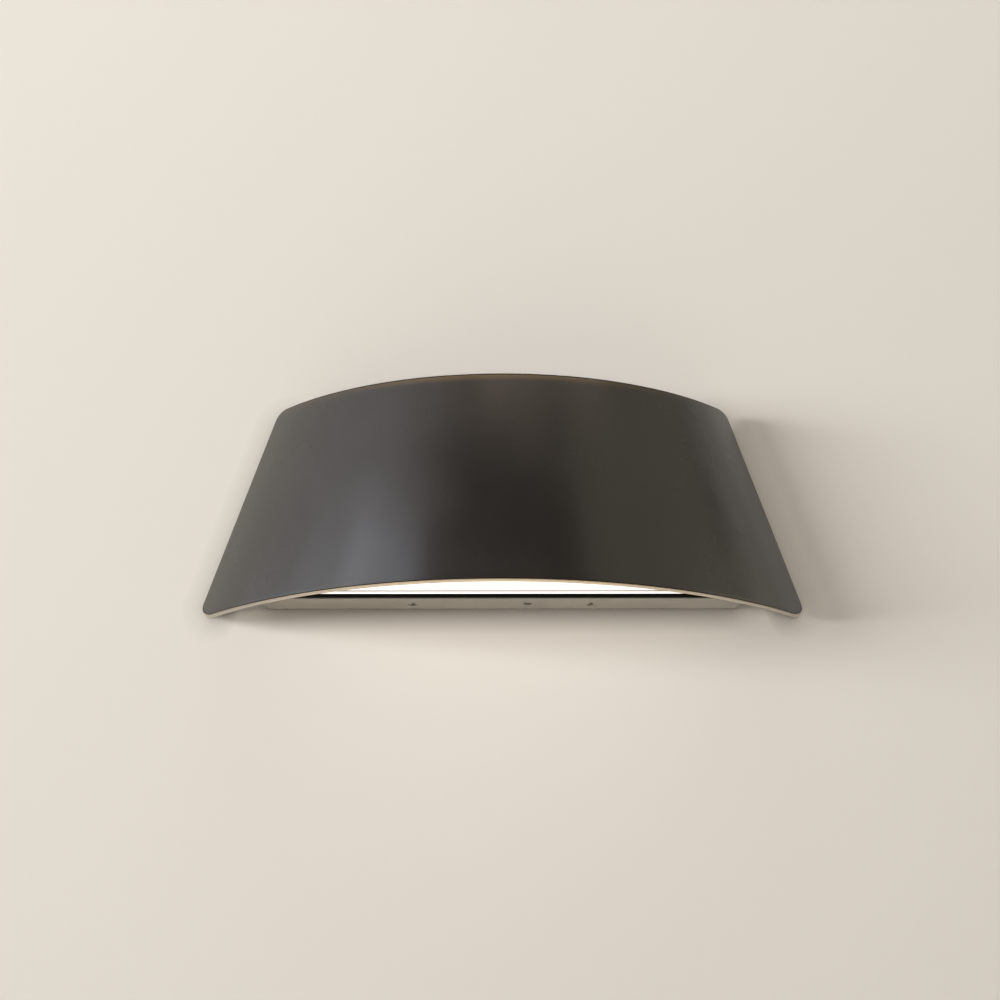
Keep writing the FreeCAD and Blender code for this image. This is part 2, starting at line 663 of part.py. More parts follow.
def pole_box(x, half_x, y0, y1, half_z):
    """A box at one pole, centred on the terminal block's middle level."""
    return box(x - half_x, x + half_x, y0, y1, block_middle - half_z, block_middle + half_z)


def make_terminal_block():
    half = block_length / 2
    block = box(block_x - half, block_x + half, front_inside, block_back, block_foot, block_top)
    block = fuse([block] + ears(block_x, half, block_middle))
    well = BUTTON_GUIDE + BUTTON_STAND + BUTTON_PLAY
    side_x, side_z = BUTTON_WIDTH / 2 + BUTTON_PLAY, BUTTON_LENGTH / 2 + BUTTON_PLAY
    slot_x, slot_z = CONTACT_WIDTH / 2 + CONTACT_PLAY, BLOCK_WIDTH / 2 - CONTACT_END + CONTACT_PLAY
    slot_top = lead_y - LEAD_RADIUS
    for x in pole_x:
        block = block.cut(pole_box(x, side_x, block_back - well, block_back, side_z))
        block = block.cut(pole_box(x, slot_x, front_inside, slot_top, slot_z))
        block = block.cut(rod(ENTRY_RADIUS, Vector(x, lead_y, block_foot), UP, ENTRY_DEPTH))
        block = block.cut(rod(ENTRY_RADIUS, Vector(x, lead_y, block_top), DOWN, ENTRY_DEPTH))
    return block


def make_terminal_contacts():
    half_z = BLOCK_WIDTH / 2 - CONTACT_END
    top = lead_y - LEAD_RADIUS - CONTACT_PLAY
    bars = []
    for x in pole_x:
        bars.append(pole_box(x, CONTACT_WIDTH / 2, top - CONTACT_THICKNESS, top, half_z))
    return Part.makeCompound(bars)


def make_button(x):
    y0, y1 = block_back - BUTTON_GUIDE, block_back + BUTTON_STAND
    button = pole_box(x, BUTTON_WIDTH / 2, y0, y1, BUTTON_LENGTH / 2)
    return button.makeFillet(BUTTON_ROUND, edges_at(button.Edges, 1, y1))


def make_lead(points, radius, bend):
    """A round lead along straight runs, with a tangent arc at each turn."""
    edges = []
    start = points[0]
    for before, turn, after in zip(points, points[1:], points[2:]):
        way_in = (turn - before).normalize()
        way_out = (after - turn).normalize()
        half_turn = way_in.getAngle(way_out) / 2
        setback = bend * math.tan(half_turn)
        arc_start, arc_end = turn - way_in * setback, turn + way_out * setback
        to_middle = (way_out - way_in).normalize() * (bend / math.cos(half_turn) - bend)
        edges.append(Part.makeLine(start, arc_start))
        edges.append(Part.Arc(arc_start, turn + to_middle, arc_end).toShape())
        start = arc_end
    edges.append(Part.makeLine(start, points[-1]))
    path = Part.Wire(edges)
    section = Part.Wire(Part.makeCircle(radius, points[0], points[1] - points[0]))
    return path.makePipeShell([section], True, False)


lead_start = block_top - ENTRY_DEPTH + HOLE_PLAY


def make_supply_lead(x, level):
    points = [(x, lead_y, lead_start), (x, lead_y, level), (-DRIVER_LENGTH / 2, lead_y, level)]
    return make_lead([Vector(*point) for point in points], LEAD_RADIUS, LEAD_BEND)


barrel_top = earth_z - TAG_RADIUS - TAG_NECK
barrel_foot = barrel_top - TAG_BARREL_LENGTH


def make_earth_lead():
    end = (barrel_foot + barrel_top) / 2
    return rod(LEAD_RADIUS, Vector(pole_x[0], lead_y, lead_start), UP, end - lead_start)


def make_earth_tag():
    x = pole_x[0]
    bore = LEAD_RADIUS + THREAD_PLAY
    ring = rod(TAG_RADIUS, Vector(x, earth_seat, earth_z), TO_WALL, TAG_THICKNESS)
    neck = box(x - bore, x + bore, earth_seat, earth_seat + TAG_THICKNESS, barrel_top - TAG_NECK, earth_z)
    barrel = rod(bore + TAG_BARREL_WALL, Vector(x, lead_y, barrel_foot), UP, TAG_BARREL_LENGTH)
    tag = fuse([ring, neck, barrel])
    tag = tag.cut(rod(M4_RADIUS + HOLE_PLAY, Vector(x, earth_seat, earth_z), TO_WALL, TAG_THICKNESS))
    return tag.cut(rod(bore, Vector(x, lead_y, barrel_foot), UP, TAG_BARREL_LENGTH - TAG_NECK))


def make_earth_screw():
    length = TAG_THICKNESS + EARTH_BOSS_HEIGHT + HOUSING_FRONT - 2 * BLIND_END
    return m4_screw(Vector(pole_x[0], earth_seat + TAG_THICKNESS, earth_z), TO_ROOM, length)


led_lead_end = board_y + BOARD_WIDTH / 2 - 2 * LED_LEAD_RADIUS


def make_led_lead(x, level):
    points = [
        (DRIVER_LENGTH / 2, lead_y, level),
        (x, lead_y, level),
        (x, lead_y, wire_grommet_z),
        (x, led_lead_end, wire_grommet_z),
        (x, led_lead_end, board_foot),
    ]
    return make_lead([Vector(*point) for point in points], LED_LEAD_RADIUS, LED_LEAD_BEND)


pieces = {
    "wall_plate": make_wall_plate(),
    "cable_grommet": make_cable_grommet(),
    "housing": make_housing(),
    "wall_gasket": make_wall_gasket(),
    "shade": make_shade(),
    "shade_screws": make_shade_screws(),
    "top_cover": make_top_cover(),
    "top_cover_screws": make_top_cover_screws(),
    "light_tray": make_light_tray(),
    "light_tray_screws": make_light_tray_screws(),
    "wire_grommet": make_wire_grommet(),
    "thermal_pad": board_layer(pad_foot, tray_ceiling),
    "led_board": board_layer(board_foot, pad_foot),
    "led_chips": make_led_chips(),
    "led_board_screws": make_led_board_screws(),
    "reflector": make_reflector(),
    "diffuser_seal": make_diffuser_seal(),
    "diffuser": make_diffuser(),
    "led_driver": make_led_driver(),
    "driver_screws": ear_screws(driver_screw_places()),
    "terminal_block": make_terminal_block(),
    "terminal_contacts": make_terminal_contacts(),
    "terminal_screws": ear_screws(block_screw_places()),
    "earth_button": make_button(pole_x[0]),
    "live_button": make_button(pole_x[1]),
    "neutral_button": make_button(pole_x[2]),
    "earth_tag": make_earth_tag(),
    "earth_screw": make_earth_screw(),
    "earth_lead": make_earth_lead(),
    "live_lead": make_supply_lead(pole_x[1], lead_levels[0]),
    "neutral_lead": make_supply_lead(pole_x[2], lead_levels[1]),
    "led_plus_lead": make_led_lead(led_lead_x[0], lead_levels[0]),
    "led_minus_lead": make_led_lead(led_lead_x[1], lead_levels[1]),
    "fixing_screw_left": make_fixing_screw(-FIXING_SPACING / 2),
    "fixing_screw_right": make_fixing_screw(FIXING_SPACING / 2),
}
for name, shape in pieces.items():
    shape.exportStep("parts/" + name + ".step")
    print(name, len(shape.Solids), shape.isValid(), round(shape.Volume, 1))
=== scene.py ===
import math

import bmesh
import bpy
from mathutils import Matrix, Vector


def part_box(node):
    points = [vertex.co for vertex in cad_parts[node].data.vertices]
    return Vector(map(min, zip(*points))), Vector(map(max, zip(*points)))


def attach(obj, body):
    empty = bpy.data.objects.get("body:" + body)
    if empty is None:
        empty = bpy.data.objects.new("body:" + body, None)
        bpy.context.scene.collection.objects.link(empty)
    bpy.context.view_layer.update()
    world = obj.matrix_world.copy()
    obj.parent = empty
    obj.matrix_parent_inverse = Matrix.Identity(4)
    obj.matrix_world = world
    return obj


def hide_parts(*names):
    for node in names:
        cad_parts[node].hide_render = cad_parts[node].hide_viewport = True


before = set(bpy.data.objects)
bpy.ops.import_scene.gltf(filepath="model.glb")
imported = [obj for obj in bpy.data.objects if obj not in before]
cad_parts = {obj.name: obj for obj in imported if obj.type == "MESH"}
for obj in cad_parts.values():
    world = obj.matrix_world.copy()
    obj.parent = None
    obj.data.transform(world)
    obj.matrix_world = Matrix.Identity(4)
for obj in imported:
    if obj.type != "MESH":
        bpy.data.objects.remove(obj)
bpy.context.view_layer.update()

bl_info = {
    "name": "Wall downlight looks",
    "version": (1, 0, 0),
    "blender": (4, 5, 0),
    "location": "View3D > Sidebar > Downlight",
    "description": "Dresses the packed wall downlight: curved shade, finishes and a plain studio wall",
    "category": "Object",
}

HOUSING_LOW, HOUSING_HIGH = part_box("housing")
SHADE_LOW, SHADE_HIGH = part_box("shade")
COVER_LOW, COVER_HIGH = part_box("diffuser")
TRAY_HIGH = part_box("light_tray")[1]


# Sizes and colours that a user would change

class ShadeSizes(bpy.types.PropertyGroup):
    foot_width: bpy.props.FloatProperty(
        name="Foot width", description="Chord of the lower edge between its sharp corners",
        default=0.2757, subtype="DISTANCE", unit="LENGTH")
    top_width: bpy.props.FloatProperty(
        name="Top width", description="Chord of the upper edge between its sharp corners",
        default=0.2076, subtype="DISTANCE", unit="LENGTH")
    bow: bpy.props.FloatProperty(
        name="Bow", description="How far the lower edge bulges from the line between its ends",
        default=0.066, subtype="DISTANCE", unit="LENGTH")
    wall: bpy.props.FloatProperty(
        name="Wall", description="Thickness of the plate",
        default=0.004, subtype="DISTANCE", unit="LENGTH")
    wall_gap: bpy.props.FloatProperty(
        name="Wall gap", description="Between the wall and the outer side edges",
        default=0.005, subtype="DISTANCE", unit="LENGTH")
    corner: bpy.props.FloatProperty(
        name="Corner", description="Corner rounding seen from the front",
        default=0.006, subtype="DISTANCE", unit="LENGTH")
    rim: bpy.props.FloatProperty(
        name="Rim", description="Rounding of the plate's edges",
        default=0.0008, subtype="DISTANCE", unit="LENGTH")
    rib_width: bpy.props.FloatProperty(
        name="Rib width", description="Width of the two ribs that carry the plate",
        default=0.009, subtype="DISTANCE", unit="LENGTH")
    rib_gap: bpy.props.FloatProperty(
        name="Rib gap", description="Between the light tray and the ribs",
        default=0.002, subtype="DISTANCE", unit="LENGTH")
    rib_place: bpy.props.FloatProperty(
        name="Rib place", description="From the middle to each rib",
        default=0.045, subtype="DISTANCE", unit="LENGTH")


class Finishes(bpy.types.PropertyGroup):
    paint: bpy.props.FloatVectorProperty(
        name="Paint", description="Satin graphite paint of the shade", subtype="COLOR", size=3,
        default=(0.0180, 0.0145, 0.0118))
    # Partly painted reflection: this grey is lighter than the shade's paint and stands in for the lit wall
    # that the box's underside mirrors.
    box_paint_and_reflection: bpy.props.FloatVectorProperty(
        name="Box paint", description="Smooth warm grey paint of the box on the wall",
        subtype="COLOR", size=3, default=(0.262, 0.234, 0.174))
    # Partly painted shade: real paint on the rim, made darker and duller so that the rim shows as a dark
    # line.
    rim_paint_and_shade: bpy.props.FloatVectorProperty(
        name="Rim paint", description="Dark line where the paint thins over the shade's rim",
        subtype="COLOR", size=3, default=(0.017, 0.011, 0.006))
    # Painted reflection: a bronze tint along the upper edge stands in for warm light mirrored by the rounded
    # rim.
    top_edge_reflection: bpy.props.FloatVectorProperty(
        name="Thin paint", description="Bronze tint where the paint thins along the upper edge",
        subtype="COLOR", size=3, default=(0.11, 0.072, 0.03))
    # Partly painted reflection: the warm tone of the bare edge stands in for the lamp-lit wall that it
    # mirrors.
    bare_edge: bpy.props.FloatVectorProperty(
        name="Bare edge", description="Ground metal along the shade's edges", subtype="COLOR", size=3,
        default=(0.92, 0.76, 0.56))
    # Painted reflection: the bare edge turns darker towards the shade's ends, where the wall it mirrors is
    # less lit.
    dim_edge_ends: bpy.props.FloatVectorProperty(
        name="Dull edge", description="Ground metal towards the shade's ends, where it has dulled",
        subtype="COLOR", size=3, default=(0.52, 0.48, 0.41))
    glow: bpy.props.FloatVectorProperty(
        name="Glow", description="Light of the opal cover", subtype="COLOR", size=3,
        default=(1.0, 0.96, 0.91))
    # Painted shade: how far the box's front and its edges are painted black, for the dark room that the
    # glossy paint mirrors there.
    lip: bpy.props.FloatProperty(
        name="Lip", description="How far the black of the box's front reaches round its edges",
        default=0.0025, subtype="DISTANCE", unit="LENGTH")
    # The opal cover's border ends in a painted shade line, drawn as a groove.
    flange: bpy.props.FloatProperty(
        name="Flange", description="Width of the opal cover's border, which ends in a groove",
        default=0.0036, subtype="DISTANCE", unit="LENGTH")
    glow_strength: bpy.props.FloatProperty(
        name="Glow strength", description="Emission strength of the opal cover", default=1.05, min=0.0)


class StageSettings(bpy.types.PropertyGroup):
    wall_colour: bpy.props.FloatVectorProperty(
        name="Wall colour", description="Colour of the plain wall", subtype="COLOR", size=3,
        default=(0.82, 0.785, 0.72))
    floor_drop: bpy.props.FloatProperty(
        name="Floor drop", description="Height of the origin over the floor",
        default=2.0, subtype="DISTANCE", unit="LENGTH")
    lens: bpy.props.FloatProperty(
        name="Lens", description="Focal length in mm for the camera's sensor", default=81.99)
    camera_place: bpy.props.FloatVectorProperty(
        name="Camera place", description="Where the camera stands", subtype="TRANSLATION", size=3,
        default=(0.00185, -0.99674, -0.31816))
    camera_pitch: bpy.props.FloatProperty(
        name="Camera pitch", description="Upward tilt of the camera", subtype="ANGLE", unit="ROTATION",
        default=0.31711)
    camera_yaw: bpy.props.FloatProperty(
        name="Camera yaw", description="Turn of the camera to the left", subtype="ANGLE", unit="ROTATION",
        default=0.00285)


# Node building

NOISE_LOW, NOISE_HIGH = 0.3, 0.7
SKIN_DEPTH = 0.0001
BLACK = (0.0, 0.0, 0.0, 1.0)


def put(tree, kind, inputs=(), **settings):
    """A new node with its settings, whose inputs are each set to a value or linked to a socket."""
    node = tree.nodes.new(kind)
    for key, value in settings.items():
        setattr(node, key, value)
    for key, value in dict(inputs).items():
        fill(tree, node.inputs[key], value)
    return node


def fill(tree, target, value):
    """Sets an input to a value, or links it to a socket."""
    if isinstance(value, bpy.types.NodeSocket):
        tree.links.new(value, target)
    else:
        target.default_value = value


def math_node(tree, operation, first, second=0.0):
    return put(tree, "ShaderNodeMath", {0: first, 1: second}, operation=operation).outputs[0]


def vector_node(tree, operation, first, second=(0.0, 0.0, 0.0)):
    return put(tree, "ShaderNodeVectorMath", {0: first, 1: second}, operation=operation).outputs[0]


def place_on(tree):
    """The place on a piece, in the part's own space."""
    return put(tree, "ShaderNodeTexCoord").outputs["Object"]


def split(tree, vector):
    """The X, Y and Z of a vector."""
    return put(tree, "ShaderNodeSeparateXYZ", {0: vector}).outputs


def noise_at(tree, place, scale, detail, **more):
    """A cloud of noise over the piece, mostly between NOISE_LOW and NOISE_HIGH."""
    inputs = {"Vector": place, "Scale": scale, "Detail": detail, **more}
    return put(tree, "ShaderNodeTexNoise", inputs).outputs["Fac"]


def spread(tree, value, low, high, to_low, to_high):
    """A value mapped from one range to another, smoothly and clamped."""
    inputs = {"Value": value, "From Min": low, "From Max": high, "To Min": to_low, "To Max": to_high}
    return put(tree, "ShaderNodeMapRange", inputs, interpolation_type="SMOOTHSTEP").outputs["Result"]


def uneven(tree, noise, low, high):
    """A value that follows a noise between two limits."""
    return spread(tree, noise, NOISE_LOW, NOISE_HIGH, low, high)


def blend(tree, share, first, second):
    """A colour mixed from two colours by a share."""
    node = put(tree, "ShaderNodeMix", data_type="RGBA")
    for socket, value in (("Factor_Float", share), ("A_Color", first), ("B_Color", second)):
        fill(tree, next(s for s in node.inputs if s.identifier == socket), value)
    return next(s for s in node.outputs if s.identifier == "Result_Color")


def rgba(colour, share=1.0):
    return tuple(part * share for part in colour[:3]) + (1.0,)


def tones(tree, share, colour, dark, light):
    """One colour that goes from a darker to a lighter tone by a share."""
    return blend(tree, share, rgba(colour, dark), rgba(colour, light))


def new_group(name, inputs, outputs):
    """An empty shader node group: inputs as (name, default) numbers, outputs as names of numbers."""
    tree = bpy.data.node_groups.new(name, "ShaderNodeTree")
    for label, value in inputs:
        tree.interface.new_socket(label, in_out="INPUT", socket_type="NodeSocketFloat").default_value = value
    for label in outputs:
        tree.interface.new_socket(label, in_out="OUTPUT", socket_type="NodeSocketFloat")
    return tree, tree.nodes.new("NodeGroupInput").outputs, tree.nodes.new("NodeGroupOutput").inputs


def grain_group(name):
    """Fine moulded or sprayed grain over a slow mottle, both in the part's own space."""
    fine_share, peel_scale = 0.6, 0.31
    inputs = (("Grain scale", 900.0), ("Mottle scale", 30.0))
    tree, given, out = new_group(name, inputs, ("Height", "Mottle"))
    place = place_on(tree)
    fine = noise_at(tree, place, given["Grain scale"], 3.0)
    peel = noise_at(tree, place, math_node(tree, "MULTIPLY", given["Grain scale"], peel_scale), 1.0)
    height = math_node(tree, "MULTIPLY_ADD", fine, fine_share)
    tree.links.new(peel, height.node.inputs[2])
    tree.links.new(height, out["Height"])
    tree.links.new(noise_at(tree, place, given["Mottle scale"], 4.0), out["Mottle"])
    return tree


def streak_group(name):
    """Long fine streaks along X, as grinding or rolling leaves them."""
    tree, given, out = new_group(name, (("Streak scale", 60.0), ("Stretch", 40.0)), ("Streak",))
    stretch = put(tree, "ShaderNodeCombineXYZ", {"X": 1.0, "Y": given["Stretch"], "Z": given["Stretch"]})
    across = vector_node(tree, "MULTIPLY", place_on(tree), stretch.outputs[0])
    tree.links.new(noise_at(tree, across, given["Streak scale"], 5.0, Roughness=0.7), out["Streak"])
    return tree


def wear_group(name):
    """Where an edge is sharp: the share by which a rounded normal leaves the true one, with noise."""
    faint, worn = 0.02, 0.18
    tree, given, out = new_group(name, (("Reach", 0.0006), ("Breakup", 400.0)), ("Edge",))
    rounded = put(tree, "ShaderNodeBevel", {"Radius": given["Reach"]}, samples=4).outputs[0]
    true_normal = put(tree, "ShaderNodeNewGeometry").outputs["Normal"]
    along = put(tree, "ShaderNodeVectorMath", {0: rounded, 1: true_normal}, operation="DOT_PRODUCT")
    leave = math_node(tree, "SUBTRACT", 1.0, along.outputs["Value"])
    patches = uneven(tree, noise_at(tree, place_on(tree), given["Breakup"], 3.0), 0.4, 1.6)
    rough = math_node(tree, "MULTIPLY", leave, patches)
    tree.links.new(spread(tree, rough, faint, worn, 0.0, 1.0), out["Edge"])
    return tree


GROUPS = {"Fine grain": grain_group, "Ground streaks": streak_group, "Edge wear": wear_group}


def use_group(tree, name, **values):
    """A shared effect placed in a material with its own values. The group is built at its first use."""
    node = tree.nodes.new("ShaderNodeGroup")
    node.node_tree = bpy.data.node_groups.get(name) or GROUPS[name](name)
    for key, value in values.items():
        node.inputs[key.replace("_", " ").capitalize()].default_value = value
    return node.outputs


def new_material(name, **constants):
    """A material with one Principled shader, whose constants stand on its own sockets."""
    material = bpy.data.materials.new(name)
    material.use_nodes = True
    tree = material.node_tree
    shader = next(node for node in tree.nodes if node.type == "BSDF_PRINCIPLED")
    for key, value in constants.items():
        shader.inputs[key.replace("_", " ").title().replace("Ior", "IOR")].default_value = value
    return material, tree, shader


def set_bump(tree, shader, height, strength, distance=SKIN_DEPTH):
    bump = put(tree, "ShaderNodeBump", {"Strength": strength, "Distance": distance, "Height": height})
    tree.links.new(bump.outputs[0], shader.inputs["Normal"])


def set_colour(tree, shader, socket):
    tree.links.new(socket, shader.inputs["Base Color"])


def set_roughness(tree, shader, socket):
    tree.links.new(socket, shader.inputs["Roughness"])


# Finishes

def satin_paint(name, colour, rough, bump, grain_scale, specular):
    """Sprayed paint: a mottle in its colour, an uneven gloss and a fine peel."""
    dark, light = 0.88, 1.14
    noise_low, noise_high = 0.25, 0.75
    material, tree, shader = new_material(name, specular_ior_level=specular)
    grain = use_group(tree, "Fine grain", grain_scale=grain_scale, mottle_scale=22.0)
    base = tones(tree, uneven(tree, grain["Mottle"], 0.0, 1.0), colour, dark, light)
    set_roughness(tree, shader, spread(tree, grain["Mottle"], noise_low, noise_high, *rough))
    set_bump(tree, shader, grain["Height"], bump)
    return material, tree, shader, base


def shade_paint(finish):
    """The shade's satin paint, with a bronze tint along the upper edge, most in its middle, which is a
    painted reflection of warm light on the rounded rim.
    """
    reflection_from, reflection_to = SHADE_HIGH.z - 0.0045, SHADE_HIGH.z - 0.0004
    middle, ends, ends_share = 0.02, 0.09, 0.25
    material, tree, shader, base = satin_paint(
        "Satin graphite paint", finish.paint,
        rough=(0.22, 0.30), bump=0.10, grain_scale=700.0, specular=1.0)
    place = split(tree, place_on(tree))
    # Painted reflection: a bronze band along the upper edge, strongest in the middle, stands in for warm
    # light on the rim.
    near_top = spread(tree, place["Z"], reflection_from, reflection_to, 0.0, 1.0)
    near_middle = spread(tree, math_node(tree, "ABSOLUTE", place["X"]), middle, ends, 1.0, ends_share)
    painted_top_reflection = math_node(tree, "MULTIPLY", near_top, near_middle)
    set_colour(tree, shader, blend(tree, painted_top_reflection, base, rgba(finish.top_edge_reflection)))
    return material


def box_paint_and_reflection(finish):
    """The smooth paint of the box, under a clear coat. Its light tone is partly painted reflection of the
    lit wall, and it is black without coat round the lip of its front as painted shade.
    """
    painted_lip_shade, lip_fade = (0.004, 0.0033, 0.0026, 1.0), 0.0002
    material, tree, shader, base = satin_paint(
        "Smooth graphite paint", finish.box_paint_and_reflection,
        rough=(0.20, 0.28), bump=0.04, grain_scale=500.0, specular=0.1)
    # Painted shade: black without coat round the front lip, for the dark room mirrored there.
    lip_end = HOUSING_LOW.y + finish.lip
    lip = spread(tree, split(tree, place_on(tree))["Y"], lip_end - lip_fade, lip_end, 1.0, 0.0)
    set_colour(tree, shader, blend(tree, lip, base, painted_lip_shade))
    tree.links.new(math_node(tree, "SUBTRACT", 1.0, lip), shader.inputs["Coat Weight"])
    shader.inputs["Coat Roughness"].default_value = 0.08
    shader.inputs["Coat IOR"].default_value = 1.6
    return material


def cover_paint(finish):
    """The shade's paint on the cover that closes it above."""
    material, tree, shader, base = satin_paint(
        "Satin cover paint", finish.paint,
        rough=(0.33, 0.42), bump=0.12, grain_scale=700.0, specular=0.8)
    set_colour(tree, shader, base)
    return material


def rim_paint_and_shade(finish):
    """The dull dark line over the rim: paint, made darker and duller than the face as painted shade."""
    material, tree, shader, base = satin_paint(
        "Thin rim paint", finish.rim_paint_and_shade,
        rough=(0.5, 0.62), bump=0.08, grain_scale=900.0, specular=0.2)
    set_colour(tree, shader, base)
    return material


def ground_edge(finish):
    """Bare ground metal along the plate's edges, with grinding lines. Its warm colour and its darkening
    towards the ends are partly painted reflection of a wall lit most under the middle.
    """
    dim_from, dim_to = 0.03, 0.12
    material, tree, shader = new_material("Bare ground edge", metallic=1.0)
    lines = use_group(tree, "Ground streaks", streak_scale=90.0, stretch=30.0)
    bright = tones(tree, uneven(tree, lines["Streak"], 0.0, 1.0), finish.bare_edge, 0.9, 1.0)
    from_middle = math_node(tree, "ABSOLUTE", split(tree, place_on(tree))["X"])
    # Painted reflection: darker towards the ends, where the mirrored wall is less lit.
    ends = spread(tree, from_middle, dim_from, dim_to, 0.0, 1.0)
    set_colour(tree, shader, blend(tree, ends, bright, rgba(finish.dim_edge_ends)))
    set_roughness(tree, shader, uneven(tree, lines["Streak"], 0.22, 0.36))
    set_bump(tree, shader, lines["Streak"], 0.12)
    return material


def galvanised():
    """Zinc coated sheet with its crystal flowers."""
    dark_zinc, light_zinc = (0.53, 0.55, 0.57, 1.0), (0.64, 0.66, 0.67, 1.0)
    flower_share, line_share = 0.75, 0.3
    material, tree, shader = new_material("Galvanised sheet", metallic=1.0)
    inputs = {"Vector": place_on(tree), "Scale": 240.0, "Randomness": 1.0}
    flowers = put(tree, "ShaderNodeTexVoronoi", inputs).outputs
    tone = put(tree, "ShaderNodeRGBToBW", {"Color": flowers["Color"]}).outputs[0]
    lines = use_group(tree, "Ground streaks", streak_scale=50.0, stretch=25.0)
    share = math_node(tree, "MULTIPLY_ADD", tone, flower_share)
    tree.links.new(math_node(tree, "MULTIPLY", lines["Streak"], line_share), share.node.inputs[2])
    set_colour(tree, shader, blend(tree, share, dark_zinc, light_zinc))
    set_roughness(tree, shader, spread(tree, tone, 0.2, 0.8, 0.30, 0.48))
    set_bump(tree, shader, flowers["Distance"], 0.05)
    return material


def plated(name, dark, light, rough):
    """Plated or bare metal with a fine uneven film and brighter edges."""
    edge_gain, edge_share = 1.2, 0.6
    material, tree, shader = new_material(name, metallic=1.0)
    grain = use_group(tree, "Fine grain", grain_scale=1500.0, mottle_scale=220.0)
    edge = use_group(tree, "Edge wear", reach=0.0003, breakup=900.0)
    base = blend(tree, uneven(tree, grain["Mottle"], 0.0, 1.0), rgba(dark), rgba(light))
    bright = rgba([min(1.0, part * edge_gain) for part in light])
    worn = math_node(tree, "MULTIPLY", edge["Edge"], edge_share)
    set_colour(tree, shader, blend(tree, worn, base, bright))
    set_roughness(tree, shader, uneven(tree, grain["Mottle"], *rough))
    set_bump(tree, shader, grain["Height"], 0.06)
    return material


def cast_metal():
    """Die cast metal: a coarse skin with slow clouds."""
    dark_cast, light_cast = (0.52, 0.53, 0.54, 1.0), (0.68, 0.69, 0.70, 1.0)
    material, tree, shader = new_material("Cast aluminium", metallic=1.0)
    grain = use_group(tree, "Fine grain", grain_scale=1100.0, mottle_scale=60.0)
    set_colour(tree, shader, blend(tree, uneven(tree, grain["Mottle"], 0.0, 1.0), dark_cast, light_cast))
    set_roughness(tree, shader, uneven(tree, grain["Mottle"], 0.38, 0.55))
    set_bump(tree, shader, grain["Height"], 0.3)
    return material


def moulded(name, colour, rough, grain_scale=1300.0, bump=0.15, specular=0.5):
    """Moulded plastic or rubber: fine grain, a slow mottle and paler edges."""
    dark, light = 0.92, 1.05
    pale_gain, pale_lift, edge_share = 0.8, 0.12, 0.4
    material, tree, shader = new_material(name, specular_ior_level=specular)
    grain = use_group(tree, "Fine grain", grain_scale=grain_scale, mottle_scale=80.0)
    edge = use_group(tree, "Edge wear", reach=0.0004, breakup=700.0)
    base = tones(tree, uneven(tree, grain["Mottle"], 0.0, 1.0), colour, dark, light)
    pale = rgba([part * pale_gain + pale_lift for part in colour])
    worn = math_node(tree, "MULTIPLY", edge["Edge"], edge_share)
    set_colour(tree, shader, blend(tree, worn, base, pale))
    set_roughness(tree, shader, uneven(tree, grain["Mottle"], *rough))
    set_bump(tree, shader, grain["Height"], bump)
    return material


def cover_groove_shade(tree, finish, place, from_ends):
    """A mask of a painted shade line, drawn as a groove, that runs round the opal cover's border, along its
    back and its ends.
    """
    groove_half, groove_end = 0.0001, 0.0003
    from_back = math_node(tree, "SUBTRACT", COVER_HIGH.y, split(tree, place)["Y"])
    border = math_node(tree, "MINIMUM", from_ends, from_back)
    from_groove = math_node(tree, "ABSOLUTE", math_node(tree, "SUBTRACT", border, finish.flange))
    return spread(tree, from_groove, groove_half, groove_end, 1.0, 0.0)


def glowing_opal(finish):
    """Opal cover, lit from behind: its light falls off towards its ends, and lights matt pieces less."""
    dark_opal, light_opal = (0.93, 0.92, 0.88, 1.0), (0.96, 0.95, 0.91, 1.0)
    groove_shade_colour = (0.22, 0.18, 0.13, 1.0)
    fall_length, end_light, groove_light, matt_light = 0.05, 0.8, 0.25, 0.25
    material, tree, shader = new_material("Opal cover", emission_strength=finish.glow_strength)
    grain = use_group(tree, "Fine grain", grain_scale=700.0, mottle_scale=25.0)
    place = place_on(tree)
    away = vector_node(tree, "SUBTRACT", place, (COVER_LOW + COVER_HIGH) / 2)
    apart = vector_node(tree, "ABSOLUTE", away)
    inside = vector_node(tree, "SUBTRACT", (COVER_HIGH - COVER_LOW) / 2, apart)
    from_ends = split(tree, inside)["X"]
    # Painted shade: the groove line is darker and glows less, standing in for the shadow at the step between
    # border and panel.
    groove = cover_groove_shade(tree, finish, place, from_ends)
    fall = spread(tree, from_ends, 0.0, fall_length, end_light, 1.0)
    shaded = math_node(tree, "MULTIPLY", fall, spread(tree, groove, 0.0, 1.0, 1.0, groove_light))
    cloud = math_node(tree, "MULTIPLY", shaded, uneven(tree, grain["Mottle"], 0.97, 1.0))
    opal = blend(tree, grain["Mottle"], dark_opal, light_opal)
    set_colour(tree, shader, blend(tree, groove, opal, groove_shade_colour))
    matt = put(tree, "ShaderNodeLightPath").outputs["Is Diffuse Ray"]
    cast = math_node(tree, "MULTIPLY", cloud, spread(tree, matt, 0.0, 1.0, 1.0, matt_light))
    tree.links.new(blend(tree, cast, BLACK, rgba(finish.glow)), shader.inputs["Emission Color"])
    material.cycles.emission_sampling = "NONE"
    set_roughness(tree, shader, uneven(tree, grain["Mottle"], 0.38, 0.46))
    set_bump(tree, shader, grain["Height"], 0.04)
    return material


